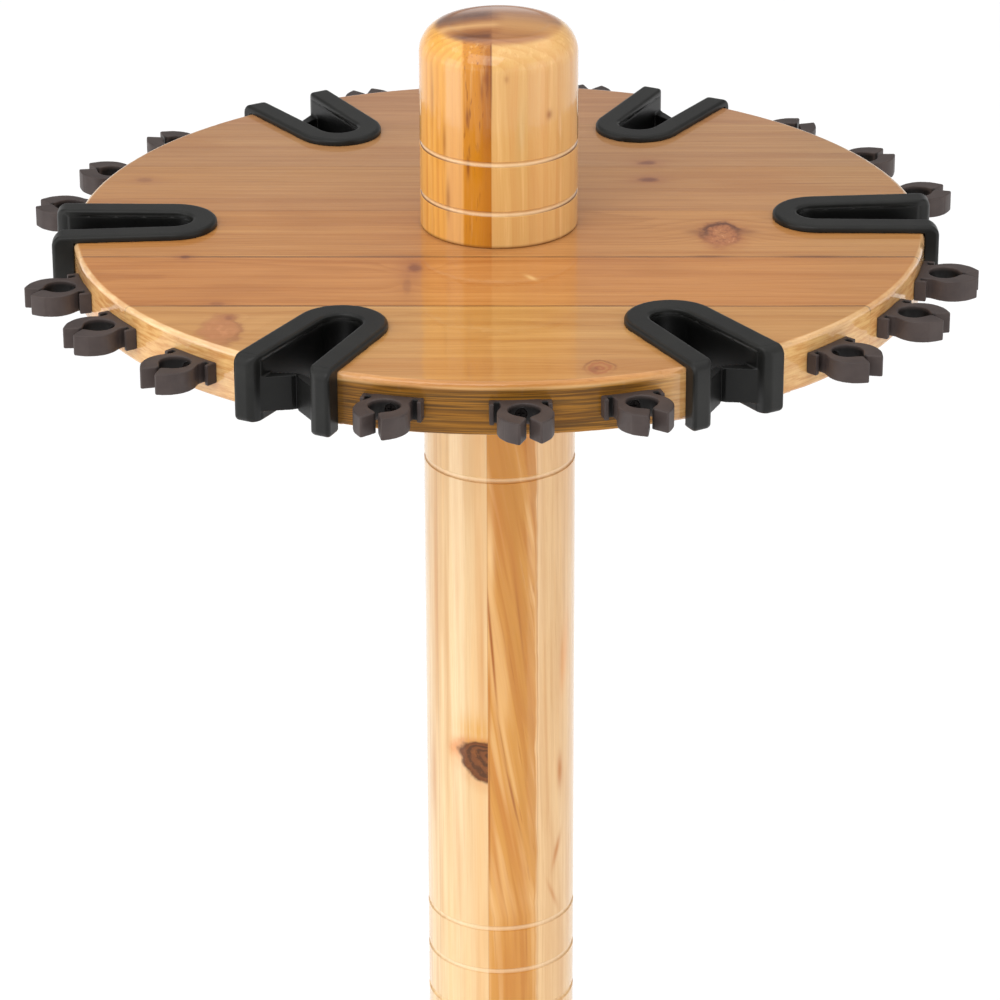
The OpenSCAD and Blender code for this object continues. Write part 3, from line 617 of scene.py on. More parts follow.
def knob_wood(name):
    """Turned knob glued from staves, grain along Z, end grain on top"""
    mat, g, bsdf = material(name)
    co = g.coords()
    x, y, z = g.xyz(co)
    zz = g.sub(z, Z_TOP)
    first = -3.5
    west = g.rng(x, first + 0.1, first - 0.1, smooth=False)
    deep = g.mul(g.rng(x, -17.6, -15.8), west)
    front = g.m("LESS_THAN", y, 0.0)
    seed = g.mul(west, 7.3)
    sway = g.mul(g.sub(g.noise(g.vec(0.0, seed, g.mul(zz, 0.014)), 1.0, 2.0, 0.5), 0.5), 7.0)
    c = g.add(x, sway)
    late, ring = wood_rings(g, g.mul(zz, 0.5), c, y, g.add(seed, 3.0), g.mul(g.sub(west, 0.5), -24.0), 62.0, 4.2, 0.34)
    fib = fibres(g, zz, c, y)
    st1 = g.noise(g.vec(g.mul(c, 0.26), g.mul(y, 0.26), g.mad(zz, 0.010, seed)), 1.0, 3.0, 0.6)
    st2 = g.noise(g.vec(g.mul(c, 0.85), g.mul(y, 0.85), g.mad(zz, 0.016, seed)), 1.0, 2.0, 0.5)
    base = g.mix(west, lin(*KNOB_PALE), lin(*KNOB_GOLD))
    base = g.mix(g.mul(deep, 0.92), base, lin(*KNOB_DEEP))
    amt = g.add(0.17, g.mul(west, 0.13))
    col = g.mix(g.mul(late, amt), base, lin(*KNOB_LATE))
    col = g.mix(g.mul(g.rng(st1, 0.52, 0.70), amt), col, lin(208, 130, 56))
    col = g.mix(g.mul(g.rng(st1, 0.46, 0.30), 0.30), col, lin(246, 208, 146))
    col = g.mix(g.mul(g.rng(st2, 0.62, 0.74), g.mul(amt, 0.9)), col, lin(160, 92, 36))
    col = g.mix(g.rng(fib, 0.42, 0.78, 0.0, 0.26), col, lin(196, 124, 56))
    # faint greenish-grey streaks and single marks on the pale side
    col = g.mix(g.mul(spindle(g, x, zz, 10.5, 58.0, 2.2, 15.0, 0.05), g.mul(front, 0.30)), col, lin(190, 160, 104))
    col = g.mix(g.mul(spindle(g, x, zz, 16.0, 36.0, 1.4, 14.0, -0.05), g.mul(front, 0.40)), col, lin(206, 148, 82))
    for x0, z0, r, stv in ((23.6, 64.0, 1.3, 0.80), (3.6, 84.0, 1.1, 0.45), (-6.2, 84.0, 1.4, 0.60)):
        col = g.mix(g.mul(g.mul(g.gauss((x, x0, r), (zz, z0, r * 1.7)), stv * 0.8), front), col, lin(132, 60, 0))
    # dark orange zone: fine vertical flecks
    fl = g.noise(g.vec(g.mul(x, 0.75), g.mul(y, 0.75), g.mul(zz, 0.085)), 1.0, 2.0, 0.6)
    near = g.mul(deep, g.rng(zz, 30.0, 66.0, 0.35, 1.0))
    col = g.mix(g.mul(g.rng(fl, 0.58, 0.70), g.mul(near, 0.60)), col, lin(118, 62, 14))
    # the zone darkens towards the glue plane
    col = g.mix(g.mul(g.mul(g.rng(x, -11.0, -4.5), deep), g.mul(g.rng(zz, 30.0, 60.0, 0.35, 0.66), front)), col, lin(152, 84, 6))
    # a painted highlight strip left of it, carrying the left softbox's reflection further down
    painted_highlight_strip = g.mul(g.mul(g.rng(x, -26.0, -24.0), g.rng(x, -16.2, -17.6)), g.mul(front, g.rng(zz, 96.0, 84.0)))
    col = g.mix(g.mul(painted_highlight_strip, 0.55), col, lin(216, 166, 108))
    for x0, z0, hw, hh, stv in ((-14.6, 64.0, 0.8, 5.0, 0.8), (-14.4, 40.0, 0.8, 5.5, 0.85), (-5.2, 84.0, 1.0, 9.0, 0.8),
                                (-7.8, 78.0, 0.7, 5.0, 0.6), (-24.0, 22.0, 1.0, 9.0, 0.55), (-25.5, 50.0, 0.9, 9.0, 0.50),
                                (-31.0, 70.0, 0.8, 14.0, 0.35)):
        col = g.mix(g.mul(g.mul(spindle(g, x, zz, x0, z0, hw, hh), stv), front), col, lin(124, 60, 2))
    # painted highlight: the right front brightened where the right softbox's reflection falls
    col = g.v("MULTIPLY", col, g.mix(g.mul(front, g.rng(x, 14.0, 22.0)), (1.0, 1.0, 1.0, 1.0), (1.06, 1.05, 1.10, 1.0)))
    # the glue plane: a thin line high up, only a change of tone below
    d = g.m("ABSOLUTE", g.sub(x, first))
    line = g.mul(g.sub(1.0, g.rng(d, 0.12, 0.75)), g.rng(zz, 58.0, 84.0, 0.10, 0.75))
    col = g.mix(line, col, lin(112, 56, 4))
    # painted highlight and painted shade in the grooves
    col = groove_painted_light(g, col, x, y, zz, [17.2, 41.8], 37.7, 0.62, 1.0, (250, 220, 174), 1.0)
    # painted shade: a thin dark contact line along the foot where the knob sits on the disc
    col = g.mix(g.mul(g.rng(zz, 1.9, 0.5), 0.60), col, lin(112, 60, 14))
    # end grain on top
    top = g.rng(zz, 97.4, 99.3)
    arc_ = g.add(y, g.mul(g.mul(x, x), 0.003))
    n = g.mul(g.sub(g.noise(g.vec(g.mul(x, 0.03), g.mul(y, 0.16), 2.0), 1.0, 3.0, 0.6), 0.5), 6.0)
    u = g.add(arc_, n)
    end = g.mix(g.mul(late, 0.30), lin(*END_TAN), lin(*END_BROWN))
    b1 = g.mul(g.gauss((u, 6.0, 8.5)), g.rng(x, 2.0, -8.0, 0.12, 0.95))
    end = g.mix(b1, end, lin(*END_PURPLE))
    b3 = g.mul(g.gauss((u, 21.0, 5.0)), g.rng(x, 6.0, -10.0, 0.15, 0.60))
    end = g.mix(b3, end, lin(*END_BROWN))
    end = g.mix(g.mul(g.gauss((u, -9.0, 4.2)), g.rng(x, 4.0, -4.0, 0.35, 0.92)), end, lin(*END_PALE))
    b2 = g.mul(g.gauss((u, -21.5, 4.4)), g.rng(x, -2.0, -5.0, 0.12, 0.85))
    end = g.mix(b2, end, lin(*END_PURPLE))
    end = g.mix(g.mul(g.gauss((x, 27.0, 5.0), (y, 0.0, 3.0)), 0.75), end, lin(104, 58, 42))
    end = g.mix(g.mul(g.mul(g.rng(x, -2.0, 4.0), g.gauss((u, -7.0, 12.0))), 0.58), end, lin(204, 152, 94))
    col = g.mix(g.mul(top, 0.92), col, end)
    varnish(mat, g, bsdf, col, fib, late, coat_rough=0.09, bump=0.08)
    return mat


# ---------------------------------------------------------------- other materials
def moulded(name, base, spread, rough, spec, grain=2.6, bump=0.12, deep=None):
    """Moulded elastomer: slight mottling, fine matt grain. deep: the colour of the painted shade in holes and slots"""
    mat, g, bsdf = material(name)
    co = g.coords()
    n1 = g.noise(co, 0.07, 3.0, 0.55)
    n2 = g.noise(co, grain, 3.0, 0.6)
    col = g.mix(g.rng(n1, 0.3, 0.7), base, spread)
    col = g.mix(g.rng(n2, 0.55, 0.8, 0.0, 0.25), col, spread)
    if deep is not None:
        # painted shade in holes and slots, read from a mesh attribute
        painted_shade = mat.node_tree.nodes.new("ShaderNodeAttribute")
        painted_shade.attribute_type = "GEOMETRY"
        painted_shade.attribute_name = "painted_shade"
        col = g.mix(g.xyz(painted_shade.outputs["Color"])[0], col, deep)
    link(mat, col, bsdf.inputs["Base Color"])
    r = g.add(g.mul(n2, 0.16), rough - 0.08)
    r = g.add(r, g.mul(g.sub(n1, 0.5), 0.12))
    link(mat, r, bsdf.inputs["Roughness"])
    bsdf.inputs["Specular IOR Level"].default_value = spec
    link(mat, g.bump(n2, bump, 0.00012), bsdf.inputs["Normal"])
    return mat


def metal(name, base, spread, rough, grain=1.2, metallic=1.0, stretch=(1, 1, 1)):
    mat, g, bsdf = material(name)
    co = g.coords()
    n1 = g.noise(g.v("MULTIPLY", co, stretch), 0.12, 3.0, 0.6)
    n2 = g.noise(g.v("MULTIPLY", co, stretch), grain, 4.0, 0.65)
    col = g.mix(g.rng(n1, 0.3, 0.7), base, spread)
    link(mat, col, bsdf.inputs["Base Color"])
    bsdf.inputs["Metallic"].default_value = metallic
    link(mat, g.add(g.mul(n2, 0.2), rough - 0.1), bsdf.inputs["Roughness"])
    link(mat, g.bump(n2, 0.10, 0.0001), bsdf.inputs["Normal"])
    return mat


def foam(name):
    mat, g, bsdf = material(name)
    co = g.coords()
    cells = g.voronoi(co, 1.1, "F1")
    fine = g.noise(co, 1.6, 3.0, 0.6)
    col = g.mix(g.rng(cells, 0.1, 0.7), lin(34, 34, 36), lin(58, 58, 60))
    col = g.mix(g.rng(fine, 0.4, 0.7, 0.0, 0.5), col, lin(46, 46, 50))
    link(mat, col, bsdf.inputs["Base Color"])
    link(mat, g.add(g.mul(fine, 0.2), 0.75), bsdf.inputs["Roughness"])
    bsdf.inputs["Specular IOR Level"].default_value = 0.2
    link(mat, g.bump(g.add(cells, g.mul(fine, 0.4)), 0.5, 0.0005), bsdf.inputs["Normal"])
    return mat


def bare_wood(name):
    mat, g, bsdf = material(name)
    x, y, z = g.xyz(g.coords())
    fib = fibres(g, z, x, y, 1.2)
    fl = g.noise(g.vec(g.mul(x, 1.1), g.mul(y, 1.1), g.mul(z, 0.25)), 1.0, 1.0, 0.5)
    col = g.mix(g.rng(fib, 0.3, 0.75), lin(226, 196, 152), lin(196, 160, 116))
    col = g.mix(g.rng(fl, 0.62, 0.72, 0.0, 0.6), col, lin(160, 120, 82))
    link(mat, col, bsdf.inputs["Base Color"])
    link(mat, g.add(g.mul(fib, 0.2), 0.6), bsdf.inputs["Roughness"])
    link(mat, g.bump(fib, 0.3, 0.0002), bsdf.inputs["Normal"])
    return mat


BOARDS = board_wood("pine_boards_top", knots=KNOTS_TOP, front_rim=0.92)
BOARDS_BASE = board_wood("pine_boards_base", first=-31.4, tilt=0.004, z_mid=47.7, radius=254.0, top=60.4,
                         knots=[(-92, 60, 8, 12, 1, 0.8), (128, -96, 10, 16, 0, 0.8), (-10, -170, 6, 9, 1, 0.7),
                                (190, 70, 9, 12, 2, 0.8), (-180, -60, 12, 15, 2, 0.8)])
BOARDS_FOOT = board_wood("pine_boards_foot", first=-20.0, tilt=-0.003, z_mid=17.0, turn=90.0, tone=0.97, radius=200.0, top=26.0,
                         knots=[(-60, 110, 7, 10, 1, 0.7), (90, -120, 9, 14, 0, 0.7)])
POST = post_wood("pine_post")
KNOB = knob_wood("pine_knob")
BLACK = moulded("black_elastomer", lin(23, 23, 22), lin(30, 30, 28), 0.38, 0.22, deep=lin(4, 4, 4))
CLIP = moulded("grey_brown_elastomer", lin(59, 50, 48), lin(70, 60, 57), 0.46, 0.26, deep=lin(14, 11, 10))
FOOT_RUBBER = moulded("foot_elastomer", lin(30, 30, 31), lin(44, 43, 43), 0.62, 0.3, 1.6, 0.25)
FOAM = foam("closed_cell_foam")
ZINC = metal("zinc_plate", lin(186, 190, 192), lin(160, 166, 172), 0.34)
BALLS = metal("polished_steel", lin(205, 207, 210), lin(190, 193, 198), 0.16, 2.0)
BRASS = metal("machined_brass", lin(214, 170, 92), lin(190, 146, 74), 0.30, 1.5)
BLACKOX = metal("black_oxide", lin(52, 52, 55), lin(72, 70, 70), 0.45, 1.2)
DULL = moulded("dull_coated_screw", lin(18, 15, 14), lin(24, 20, 19), 0.70, 0.10, 1.6, 0.10)
NYLON = moulded("natural_nylon", lin(226, 222, 204), lin(214, 208, 188), 0.42, 0.45, 1.2, 0.1)
BEECH = bare_wood("beech_dowel")

WEAR = {
    "top_disc": BOARDS, "base_disc": BOARDS_BASE, "foot_disc": BOARDS_FOOT, "post": POST, "finial": KNOB,
    "finial_insert_nut": BRASS, "post_top_insert_nut": BRASS, "post_bottom_insert_nut": BRASS,
    "top_stud": ZINC, "base_bolt": ZINC, "base_washer": ZINC, "bearing_upper_plate": ZINC,
    "bearing_lower_plate": ZINC, "bearing_balls": BALLS, "ball_cage": NYLON, "top_dowels": BEECH,
    "base_dowels": BEECH, "clip_screws": DULL, "bearing_upper_screws": BLACKOX,
    "bearing_lower_screws": BLACKOX, "foot_screws": BLACKOX,
}
for node, mat in WEAR.items():
    for o in bpy.data.objects:
        if o.type == "MESH" and (o.name == node or o.get("node") == node):
            for s in o.material_slots:
                s.material = mat


# ---------------------------------------------------------------- shapes from distance fields
def round_max(a, b, r):
    """Intersection whose edge is rounded with radius r"""
    return np.minimum(-r, np.maximum(a, b)) + np.hypot(np.maximum(a + r, 0), np.maximum(b + r, 0))


def round_min(a, b, r):
    """Union whose inner corner is filleted with radius r"""
    return np.maximum(r, np.minimum(a, b)) - np.hypot(np.maximum(r - a, 0), np.maximum(r - b, 0))


def sd_poly(px, py, poly):
    poly = np.asarray(poly, float)
    d = np.full(px.shape, 1e9)
    s = np.ones(px.shape)
    for k in range(len(poly)):
        a, b = poly[k], poly[k - 1]
        ex, ey = b - a
        wx, wy = px - a[0], py - a[1]
        t = np.clip((wx * ex + wy * ey) / (ex * ex + ey * ey), 0, 1)
        d = np.minimum(d, (wx - t * ex) ** 2 + (wy - t * ey) ** 2)
        c1, c2, c3 = py >= a[1], py < b[1], ex * wy > ey * wx
        s[(c1 & c2 & c3) | (~c1 & ~c2 & ~c3)] *= -1
    return s * np.sqrt(d)


def nets(f, lo, hi, h):
    """Surface nets: an even quad mesh of f = 0, its points moved onto the surface, with exact normals"""
    lo = np.array(lo, float)
    n = np.ceil((np.array(hi) - lo) / h).astype(int) + 1
    ax = [lo[k] + h * np.arange(n[k]) for k in range(3)]
    grid = np.stack(np.meshgrid(*ax, indexing="ij"), -1).reshape(-1, 3)
    F = f(grid).reshape(n)
    S = F < 0
    cnt = np.zeros(n - 1, np.int8)
    corners = [(i, j, k) for i in (0, 1) for j in (0, 1) for k in (0, 1)]
    for i, j, k in corners:
        cnt += S[i:n[0] - 1 + i, j:n[1] - 1 + j, k:n[2] - 1 + k]
    act = (cnt > 0) & (cnt < 8)
    idx = np.full(n - 1, -1)
    idx[act] = np.arange(act.sum())
    I = np.argwhere(act)
    pos = np.zeros((len(I), 3))
    wt = np.zeros(len(I))
    for a in corners:
        for k in range(3):
            if a[k]:
                continue
            b = list(a); b[k] = 1
            A, B = I + a, I + b
            fa, fb = F[A[:, 0], A[:, 1], A[:, 2]], F[B[:, 0], B[:, 1], B[:, 2]]
            m = (fa < 0) != (fb < 0)
            t = np.where(m, fa / np.where(m, fa - fb, 1), 0)
            p = np.repeat(np.array(a, float)[None], len(I), 0)
            p[:, k] = t
            pos += p * m[:, None]
            wt += m
    P = lo + h * (I + pos / wt[:, None])
    quads = []
    for k in range(3):
        k1, k2 = (k + 1) % 3, (k + 2) % 3
        sl = [slice(None)] * 3
        sl[k] = slice(0, n[k] - 1)
        A = S[tuple(sl)]
        sl[k] = slice(1, n[k])
        m = A != S[tuple(sl)]
        for q in (k1, k2):
            edge = [slice(None)] * 3
            edge[q] = [0, n[q] - 1]
            m[tuple(edge)] = False
        J = np.argwhere(m)
        e1, e2 = np.eye(3, dtype=int)[k1], np.eye(3, dtype=int)[k2]
        g = lambda c: idx[c[:, 0], c[:, 1], c[:, 2]]
        q = np.stack([g(J - e1 - e2), g(J - e2), g(J), g(J - e1)], 1)
        inside = A[J[:, 0], J[:, 1], J[:, 2]]
        q[~inside] = q[~inside][:, ::-1]
        quads.append(q)
    quads = np.vstack(quads)

    def grad(p):
        e = 0.04
        out = np.empty_like(p)
        for k in range(3):
            d = np.zeros(3); d[k] = e
            out[:, k] = (f(p + d) - f(p - d)) / (2 * e)
        return out

    for _ in range(4):
        gr = grad(P)
        st = (f(P) / np.maximum((gr ** 2).sum(1), 0.2))[:, None] * gr
        ln = np.linalg.norm(st, axis=1, keepdims=True)
        P = P - st * np.minimum(1, 0.5 * h / np.maximum(ln, 1e-9))
    N = grad(P)
    N /= np.maximum(np.linalg.norm(N, axis=1, keepdims=True), 1e-9)
    return P, quads, N


def step(x, a, b):
    """0 at a, 1 at b, smooth between"""
    t = np.clip((x - a) / (b - a), 0, 1)
    return t * t * (3 - 2 * t)


def new_mesh(name, P_mm, faces, mat, N=None, smooth=True, painted_shade=None):
    me = bpy.data.meshes.new(name)
    me.from_pydata((np.asarray(P_mm) / 1000.0).tolist(), [], [list(map(int, f)) for f in faces])
    me.update()
    if smooth:
        me.polygons.foreach_set("use_smooth", [True] * len(me.polygons))
    if N is not None:
        me.normals_split_custom_set_from_vertices(np.asarray(N).tolist())
    # a per-point painted shade value, stored as a colour attribute
    if painted_shade is not None:
        att = me.color_attributes.new("painted_shade", "FLOAT_COLOR", "POINT")
        rgba = np.ones((len(painted_shade), 4))
        rgba[:, :3] = np.asarray(painted_shade)[:, None]
        att.data.foreach_set("color", rgba.ravel())
    me.materials.append(mat)
    o = bpy.data.objects.new(name, me)
    bpy.context.scene.collection.objects.link(o)
    return o


def turned(P, deg, origin=(0.0, 0.0, 0.0)):
    c, s = math.cos(math.radians(deg)), math.sin(math.radians(deg))
    return np.stack([P[:, 0] * c - P[:, 1] * s + origin[0], P[:, 0] * s + P[:, 1] * c + origin[1],
                     P[:, 2] + origin[2]], 1)


SLOT_R, SLOT_C, WALL, FLANGE_W, FLANGE_T, LEG_OUT, DEEP = 9.8, 154.5, 3.0, 11.7, 3.5, 7.5, 28.6


def slot_half(r, b, u):
    b = math.radians(b)
    return (r - 0.02) / math.cos(b) + math.tan(b) * (u - SLOT_C)


def stad(u, av, r, b):
    b = math.radians(b)
    px = u - SLOT_C
    t = px * math.cos(b) + av * math.sin(b)
    return np.where(t < 0, np.hypot(px, av) - r, -px * math.sin(b) + av * math.cos(b) - r)


def insert_field(i):
    ang = math.radians(slot_angle(i))
    inner = SLOT_IN[i - 1]
    cx, cy = inner - SLOT_DX * math.cos(ang), SLOT_DX * math.sin(ang)
    hw, fw = slot_half(SLOT_R, 3.2, R), slot_half(SLOT_R + FLANGE_W, 2.8, R)
    wall_end = R + 2.4 + inner
    front = R + LEG_OUT
    legs = [[R - 9, hw + 0.2], [front + 3, hw + 0.2], [front + 3, fw + 6], [R - 9, fw + 6]]
    lip2 = [[206.2, hw + 1.5], [198.6, hw + 1.5], [193.3, 1.8], [193.0, 0.10], [195.6, 0.10], [197.4, 1.5]]

    def f(P):
        u, v, z = P[:, 0], P[:, 1], P[:, 2]
        av = np.abs(v)
        rim = np.hypot(u - cx, v - cy) - (R + 0.1)
        # one rounded outer form for flange and legs
        q = round_max(u - front, z - FLANGE_T, 5.0)
        q = round_max(q, -(z + DEEP), 2.8)
        outer = round_max(stad(u, av, SLOT_R + FLANGE_W, 2.8), q, 1.9)
        flange = np.maximum(outer, -z + 0.02)
        leg = np.maximum(outer, round_max(sd_poly(u, av, legs), -np.maximum(rim, z), 0.4))
        walls = np.maximum(np.maximum(stad(u, av, SLOT_R + WALL, 3.2), z - 1.0), u - wall_end)
        bead = round_max(round_max(stad(u, av, SLOT_R + WALL + 1.6, 3.2), np.abs(z + 26.75) - 1.25, 0.7), u - wall_end, 0.5)
        body = np.minimum(np.minimum(np.minimum(flange, leg), walls), bead)
        body = np.maximum(body, -(z + DEEP))
        body = round_max(body, -stad(u, av, SLOT_R, 3.2), 1.5)
        # lead-in at the mouth
        cut = ((u - (front - 3.8)) * 2.9 - (av - (hw + 0.2)) * 3.8) / 4.78
        body = round_max(body, cut, 1.8)
        lips = round_max(sd_poly(u, av, lip2), np.abs(z + 15.8) - 8.2, 0.3)
        return round_min(body, lips, 1.0)
    return f


for i in range(1, 7):
    f = insert_field(i)
    P, Q, N = nets(f, (131, -28, -30.5), (213, 28, 5.5), 0.75)
    a = slot_angle(i)
    shift = (SLOT_DX - SLOT_IN[i - 1] * math.cos(math.radians(a)), -SLOT_IN[i - 1] * math.sin(math.radians(a)), Z_TOP)
    # painted shade: darker down the slot's inner walls below the flange, less on the legs beyond the rim
    painted_shade = step(stad(P[:, 0], np.abs(P[:, 1]), SLOT_R, 3.2), 2.2, 0.5) * step(P[:, 2], 2.6, -3.0)
    painted_shade *= 1 - 0.45 * step(P[:, 0], R - 8, R + 2)
    o = new_mesh(f"slot_liner_{i}", turned(P, a, shift), Q, BLACK, turned(N, a), painted_shade=painted_shade * 0.9)
    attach(o, "turning_rack")
    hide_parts(f"slot_insert_{i}")


def clip_field(lean):
    c, s = math.cos(math.radians(lean)), math.sin(math.radians(lean))
    plate = [[-1.2, -13.9], [-1.2, 13.9], [5.2, 13.9], [5.2, 11.9], [2.6, 11.9], [2.6, -11.9], [5.2, -11.9], [5.2, -13.9]]

    def f(P):
        u, v, z = P[:, 0], P[:, 1], P[:, 2]
        ru, rv = (u - 3) * c + v * s + 3, -(u - 3) * s + v * c
        ring = np.hypot(ru - 15.2, rv) - 12.6
        jaws = sd_poly(ru, rv, [[27.4, 5.4], [22.4, 9.5], [15.2, 6], [15.2, -6], [22.4, -9.5], [27.4, -5.4]])
        ring = round_min(ring, jaws, 1.5)
        neck = sd_poly(ru, rv, [[0, -9.2], [5, -9.2], [7, -9.7], [11, -11.4], [11, 11.4], [7, 9.7], [5, 9.2], [0, 9.2]])
        body = round_min(ring, neck, 0.6)
        pl = round_max(sd_poly(u, v, plate), (R + 0.05) - np.hypot(u + R, v), 0.2)
        body = round_min(body, pl, 0.3)
        hole = np.hypot(ru - 11.6, rv) - 7.2
        throat = sd_poly(ru, rv, [[16.6, 4.6], [20.6, 0.5], [20.6, -0.5], [16.6, -4.6]])
        slit = np.maximum(np.abs(ru - 17.0) - 5.4, np.abs(rv) - 0.6)
        funnel = sd_poly(ru, rv, [[20.9, 0.5], [29.4, 5.6], [29.4, -5.6], [20.9, -0.5]])
        void = round_min(np.minimum(round_min(hole, throat, 0.8), slit), funnel, 0.4)
        d2 = round_max(body, -void, 0.6)
        d = round_max(d2, np.abs(z) - 5.0, 0.6)
        sink = np.maximum(np.maximum(np.hypot(v, z) - 2.7, 1.9 - u), u - 7.9)
        return round_max(d, -sink, 0.3)
    return f


for i in range(1, 19):
    P, Q, N = nets(clip_field(CLIP_LEAN[i - 1]), (-2.2, -16, -6.2), (29.4, 16, 6.2), 0.55)
    ru, rv = turned(P - [3, 0, 0], -CLIP_LEAN[i - 1])[:, :2].T
    # painted shade in the clip's hole, its slit and the slots beside the tabs
    inside = step(np.hypot(ru + 3 - 11.6, rv), 8.4, 7.4) * step(np.abs(P[:, 2]), 4.9, 2.6)
    slit = step(np.abs(rv), 1.6, 0.8) * step(ru, 12.0, 13.5) * step(ru, 19.5, 18.0)
    beside = step(P[:, 0], 5.6, 4.6) * step(np.abs(P[:, 1]), 9.0, 9.6) * step(np.abs(P[:, 1]), 12.3, 11.6) * step(P[:, 0], 1.5, 2.4)
    painted_shade = np.maximum(np.maximum(inside, slit * 0.7), beside)
    P[:, 0] += R
    a = clip_angle(i)
    o = new_mesh(f"soft_clip_{i:02d}", turned(P, a, (0, 0, CLIP_MID)), Q, CLIP, turned(N, a), painted_shade=painted_shade)
    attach(o, "turning_rack")
    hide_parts(f"rod_clip_{i:02d}")


# ---------------------------------------------------------------- lathe pieces
def lathe(profile, seg, centre=(0, 0), base=0.0):
    """Points and faces of a closed profile [(r, z)...] turned round a vertical axis, poles welded"""
    P, F, rows = [], [], []
    for r, z in profile:
        if r < 1e-6:
            rows.append([len(P)] * seg)
            P.append((centre[0], centre[1], base + z))
        else:
            rows.append(list(range(len(P), len(P) + seg)))
            for k in range(seg):
                t = 2 * math.pi * k / seg
                P.append((centre[0] + r * math.cos(t), centre[1] + r * math.sin(t), base + z))
    for a, b in zip(rows[:-1], rows[1:]):
        for k in range(seg):
            q = [a[k], a[(k + 1) % seg], b[(k + 1) % seg], b[k]]
            q2 = [v for n, v in enumerate(q) if v not in q[:n]]
            if len(q2) > 2:
                F.append(q2)
    return P, F


def arc(cr, cz, r, a0, a1, n):
    return [(cr + r * math.cos(math.radians(a0 + (a1 - a0) * k / n)), cz + r * math.sin(math.radians(a0 + (a1 - a0) * k / n)))
            for k in range(n + 1)]


def joined(name, parts, mat, body, nodes):
    P, F = [], []
    for p, f in parts:
        F += [[v + len(P) for v in q] for q in f]
        P += p
    o = new_mesh(name, np.array(P), F, mat)
    bm = bmesh.new(); bm.from_mesh(o.data)
    bmesh.ops.recalc_face_normals(bm, faces=bm.faces)
    bm.to_mesh(o.data); bm.free()
    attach(o, body)
    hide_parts(*nodes)
    return o


def pad_profile(r, t):
    """Die-cut foam pad: slightly crowned top, soft upper edge"""
    top = [(r * k / 8.0, t - 0.05 - 0.45 * (k / 8.0) ** 2) for k in range(7)]
    return [(0, 0)] + [(r - 0.5, 0)] + arc(r - 0.5, 0.5, 0.5, -90, 0, 3) + arc(r - 1.1, t - 1.6, 1.1, 0, 80, 6) + top[::-1]


def ring_places(rad, angles):
    return [(rad * math.cos(math.radians(a)), rad * math.sin(math.radians(a))) for a in angles]


clip_places = ring_places(R + 11.6, [LAYOUT + 15 * (i + (i - 1) // 3) for i in range(1, 19)])
slot_places = ring_places(165.0, [slot_angle(i) for i in range(1, 7)])
joined("foam_pads_outer", [lathe(pad_profile(18.1, 4.0), 40, c, Z_POST - 7.5) for c in clip_places],
       FOAM, "turning_rack", ["butt_pads_outer"])
joined("foam_pads_inner", [lathe(pad_profile(22.8, 4.0), 48, c, Z_POST - 7.5) for c in slot_places],
       FOAM, "turning_rack", ["butt_pads_inner"])

foot_prof = ([(5.0, 0.0)] + [(14.4, 0.0)] + arc(14.3, 0.9, 0.9, -80, -5, 4) + [(15.45, 2.4), (15.1, 2.8), (15.5, 3.2)]
             + [(16.2, 6.2)] + arc(15.9, 7.0, 1.0, 0, 90, 5) + [(2.15, 8.0), (2.15, 4.0), (5.0, 4.0), (5.0, 0.0)])
joined("rubber_buffer_feet", [lathe(foot_prof, 40, c, 0.0) for c in ring_places(178.0, range(30, 390, 60))],
       FOOT_RUBBER, "foot", ["rubber_feet"])


# ---------------------------------------------------------------- floor and light
def plane(name, size, mat):
    me = bpy.data.meshes.new(name)
    s = size / 2
    me.from_pydata([(-s, -s, 0), (s, -s, 0), (s, s, 0), (-s, s, 0)], [], [(0, 1, 2, 3)])
    me.materials.append(mat)
    o = bpy.data.objects.new(name, me)
    bpy.context.scene.collection.objects.link(o)
    return o


fmat, g, bsdf = material("studio_floor")
n = g.noise(g.coords(), 0.002, 2.0, 0.5)
link(fmat, g.mix(n, lin(252, 252, 252), lin(250, 250, 250)), bsdf.inputs["Base Color"])
bsdf.inputs["Roughness"].default_value = 0.9
bsdf.inputs["Specular IOR Level"].default_value = 0.0
floor = plane("studio_floor", 60.0, fmat)

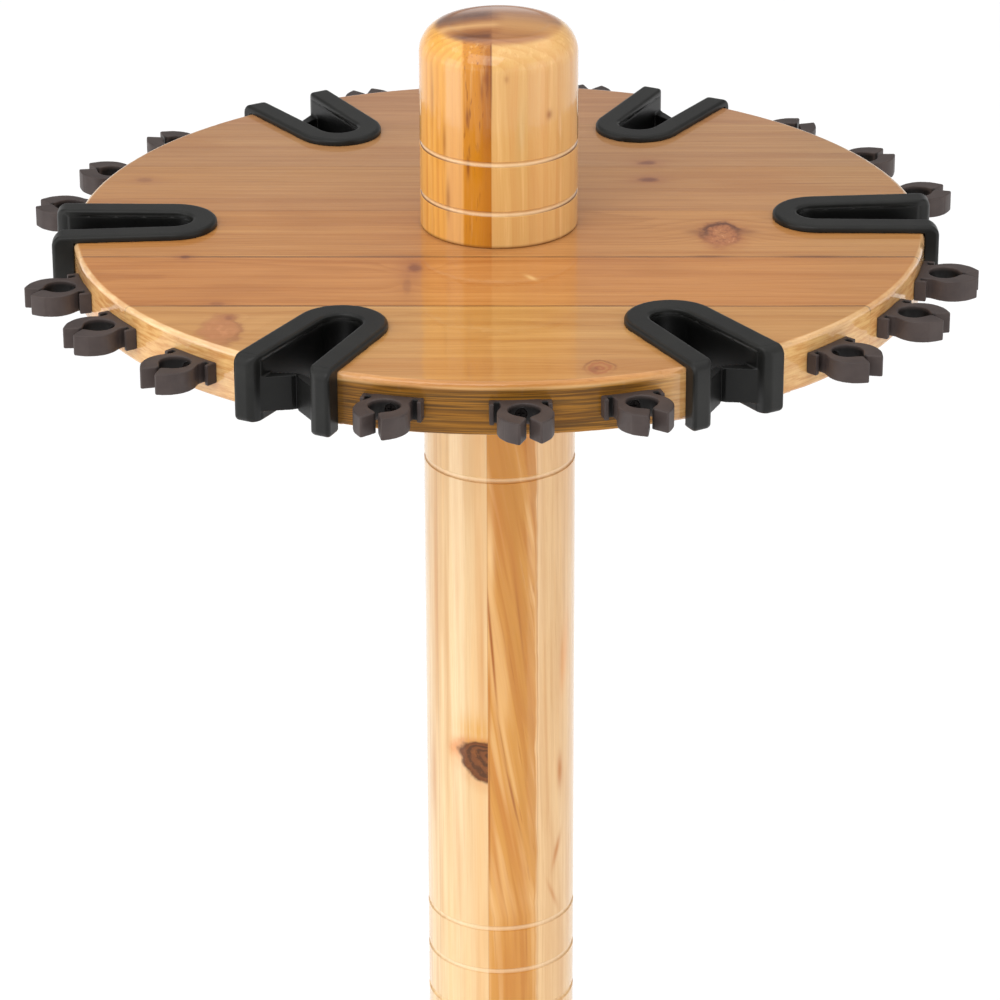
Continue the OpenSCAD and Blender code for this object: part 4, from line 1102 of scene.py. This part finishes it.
WORLD_BASE, WORLD_LOW, WORLD_LEFT, WORLD_RIGHT, WORLD_TOP = 0.20, 0.38, 0.88, 0.70, 1.34
world = bpy.data.worlds.new("studio")
bpy.context.scene.world = world
world.use_nodes = True
wt = world.node_tree
wg = Nodes(wt)
bg = next(n for n in wt.nodes if n.type == "BACKGROUND")
tc = wt.nodes.new("ShaderNodeTexCoord")
wx, wy, wz = wg.xyz(tc.outputs["Generated"])
# soft side walls and ceiling, darker behind and in front, so that the varnish isn't veiled
zenith = wg.rng(wz, 0.52, 0.80)
flat = wg.m("SQRT", wg.add(wg.mul(wx, wx), wg.mul(wy, wy)))
sx, sy = wg.div(wx, flat), wg.div(wy, flat)
left = wg.rng(wg.sub(wg.mul(sx, -0.88), wg.mul(sy, 0.47)), 0.45, 0.92)
right = wg.rng(wg.sub(wg.mul(sx, 0.88), wg.mul(sy, 0.47)), 0.45, 0.92)
low = wg.rng(wz, 0.30, 0.40, WORLD_LOW, WORLD_BASE)
level = wg.sum(low, wg.mul(left, WORLD_LEFT), wg.mul(right, WORLD_RIGHT), wg.rng(wz, 0.22, 0.05, 0.0, 0.42))
level = wg.mixf(zenith, level, WORLD_TOP)
wt.links.new(wg.vec(level, level, level), bg.inputs["Color"])
bg.inputs["Strength"].default_value = 1.0


def area(name, loc, target, sx, sy, power, color=(1, 1, 1)):
    d = bpy.data.lights.new(name, "AREA")
    d.shape = "RECTANGLE"
    d.size, d.size_y, d.energy, d.color = sx, sy, power, color
    o = bpy.data.objects.new(name, d)
    bpy.context.scene.collection.objects.link(o)
    o.location = loc
    o.rotation_euler = (Vector(target) - Vector(loc)).to_track_quat("-Z", "Y").to_euler()
    return o


area("softbox_key", (-0.5, -1.15, 1.9), (0, -0.15, 0.8), 1.3, 1.0, 9.0)
area("softbox_left", (-0.85, -0.34, 0.62), (0, 0, 0.62), 0.40, 1.25, 2.2)
area("softbox_right", (0.80, -0.56, 0.62), (0, 0, 0.62), 0.45, 1.25, 1.4)
